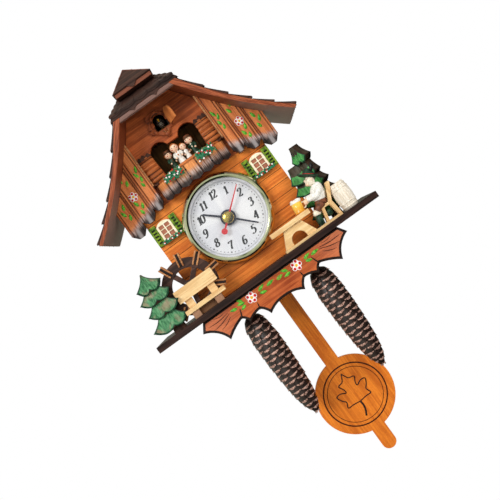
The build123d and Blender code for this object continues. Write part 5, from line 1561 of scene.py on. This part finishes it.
def dial_print():
    """Numerals and minute dots."""
    shape = Shape()
    height, wide, slant, y = 6.9, 6.6, 0.24, -45.72
    for hour in range(1, 13):
        a = radians(hour * 30)
        text = str(hour)
        span = 0.60 * len(text) - (0.10 if len(text) > 1 else 0)
        cx, cz = NUMERAL_R * sin(a), DIAL_Z + NUMERAL_R * cos(a)
        for k, digit in enumerate(text):
            left = cx - span * wide / 2 + k * 0.52 * wide
            for path in DIGITS[digit]:
                place = [(left + (px + slant * (pz - 0.5)) * wide, cz + (pz - 0.5) * height)
                         for px, pz in path]
                pen_stroke(shape, place, 1.75, 0.62, y)
    for minute in range(60):
        a = radians(minute * 6)
        r = 0.66 if minute % 5 == 0 else 0.4
        shape.ball((DOTS_R * sin(a), -45.62, DIAL_Z + DOTS_R * cos(a)), (r, 0.10, r), 0, None, 12, 6)
    return shape.piece("dial_print", ["ink"], "house", weld=False)


def dial_ring():
    """The pale inner slope between the dial and the rim."""
    shape = Shape()
    loops = []
    for r, y in ((34.3, -51.9), (33.0, -48.6), (31.9, -45.7), (34.3, -45.7), (34.3, -51.9)):
        loops.append([(r * cos(2 * pi * j / 96), y, DIAL_Z + r * sin(2 * pi * j / 96)) for j in range(96)])
    shape.grid(loops, 0, True, loop=True)
    return shape.piece("dial_slope", ["dial"], "house")


# ---- stage, light and camera ---------------------------------------------------------------------
def add_area(name, place, target, size, power, tint=(1, 1, 1)):
    light = bpy.data.lights.new(name, "AREA")
    light.shape = "DISK"
    light.size = size
    light.energy = power
    light.color = tint
    obj = bpy.data.objects.new(name, light)
    bpy.context.scene.collection.objects.link(obj)
    obj.location = place
    obj.rotation_euler = (Vector(target) - Vector(place)).to_track_quat("-Z", "Y").to_euler()
    return obj


def build_world():
    """White to the camera; what polished parts mirror is banded, bright above and dark below."""
    world = bpy.data.worlds.new("studio")
    bpy.context.scene.world = world
    world.use_nodes = True
    tree = world.node_tree
    tree.nodes.clear()
    new, link = tree.nodes.new, tree.links.new

    def background(strength):
        node = new("ShaderNodeBackground")
        node.inputs["Strength"].default_value = strength
        return node

    def choose(ray, other, chosen):
        node = new("ShaderNodeMixShader")
        for socket, source in zip(node.inputs, (path.outputs[ray], other.outputs[0], chosen.outputs[0])):
            link(source, socket)
        return node

    plain, soft, mirrored = background(1.0), background(0.5), background(0.8)
    plain.inputs["Color"].default_value = (1, 1, 1, 1)
    lean = new("ShaderNodeVectorMath")
    lean.operation = "DOT_PRODUCT"
    lean.inputs[1].default_value = (-0.6, 0.0, 0.8)
    link(new("ShaderNodeTexCoord").outputs["Generated"], lean.inputs[0])
    ramp = new("ShaderNodeValToRGB")
    bands = ramp.color_ramp.elements
    for element, (place, tint) in zip([bands[0], bands[1]],
                                      ((0.0, (0.01, 0.01, 0.01)), (1.0, (1.0, 1.0, 0.94)))):
        element.position, element.color = place, (*tint, 1)
    for place, tint in ((0.34, (0.02, 0.035, 0.015)), (0.46, (0.50, 0.53, 0.40)), (0.60, (0.72, 0.76, 0.58)),
                        (0.72, (1.0, 1.0, 0.94)), (0.79, (0.10, 0.14, 0.07)), (0.84, (0.80, 0.84, 0.68))):
        bands.new(place).color = (*tint, 1)
    shift = new("ShaderNodeMath")
    shift.operation = "MULTIPLY_ADD"
    shift.inputs[1].default_value = 0.5
    shift.inputs[2].default_value = 0.5
    link(lean.outputs["Value"], shift.inputs[0])
    link(shift.outputs[0], ramp.inputs[0])
    link(ramp.outputs[0], mirrored.inputs["Color"])
    path = new("ShaderNodeLightPath")
    seen = choose("Is Camera Ray", choose("Is Glossy Ray", soft, mirrored), plain)
    link(seen.outputs[0], new("ShaderNodeOutputWorld").inputs["Surface"])


def build_stage():
    """A pale floor well below the clock, three soft lights and the world behind them."""
    mesh = bpy.data.meshes.new("floor")
    size, low = 1.6, -0.95
    mesh.from_pydata([(-size, -size, low), (size, -size, low), (size, size * 0.3, low),
                      (-size, size * 0.3, low)], [],
                     [(0, 1, 2, 3)])
    floor = bpy.data.objects.new("floor", mesh)
    bpy.context.scene.collection.objects.link(floor)
    look = Look("floor_pale", 0.8)
    look.colour(look.mix(look.noise(look.scaled(1, 1, 1), 0.01), srgb(236, 236, 234), srgb(228, 228, 226)))
    mesh.materials.append(look.material)
    floor.visible_glossy = False
    add_area("key", (-0.9, -1.5, 0.9), (0, 0, -0.1), 1.0, 27)
    add_area("fill", (1.3, -1.3, 0.3), (0, 0, -0.12), 1.2, 15).visible_glossy = False
    add_area("back", (0.4, 1.2, 0.9), (0, 0, -0.1), 1.0, 12).visible_glossy = False
    build_world()


CAMERA_PLACE = (-1.2, -640.0, -111.8)
CAMERA_ROLL = 35.75
CAMERA_LENS = 49.4


def build_camera():
    """Level with the dial's lower half, rolled so that the clock leans to the left."""
    data = bpy.data.cameras.new("camera")
    data.lens = CAMERA_LENS
    data.sensor_width = 36
    camera = bpy.data.objects.new("camera", data)
    bpy.context.scene.collection.objects.link(camera)
    roll = radians(CAMERA_ROLL)
    right = Vector((cos(roll), 0, -sin(roll)))
    up = Vector((sin(roll), 0, cos(roll)))
    turn = Matrix((right, up, right.cross(up))).transposed().to_4x4()
    camera.matrix_world = Matrix.Translation(Vector(CAMERA_PLACE) * MM) @ turn
    bpy.context.scene.camera = camera
    bpy.context.scene.view_settings.view_transform = "Standard"


def main():
    dress_cad()
    roof_shingles()
    hip_shingles()
    cap_shingles()
    gable_carving()
    rail_trim()
    flower_boxes()
    siding_paint()
    doorway_carving()
    dancers()
    bird()
    beer_drinker()
    beer_mug()
    trees()
    water_wheel()
    barrel()
    apron()
    pendulum_leaf()
    fir_cone("fir_cone_left", "cone_l", "cone_left", -CONE_X)
    fir_cone("fir_cone_right", "cone_r", "cone_right", CONE_X)
    dial_print()
    dial_ring()
    build_stage()
    build_camera()


main()
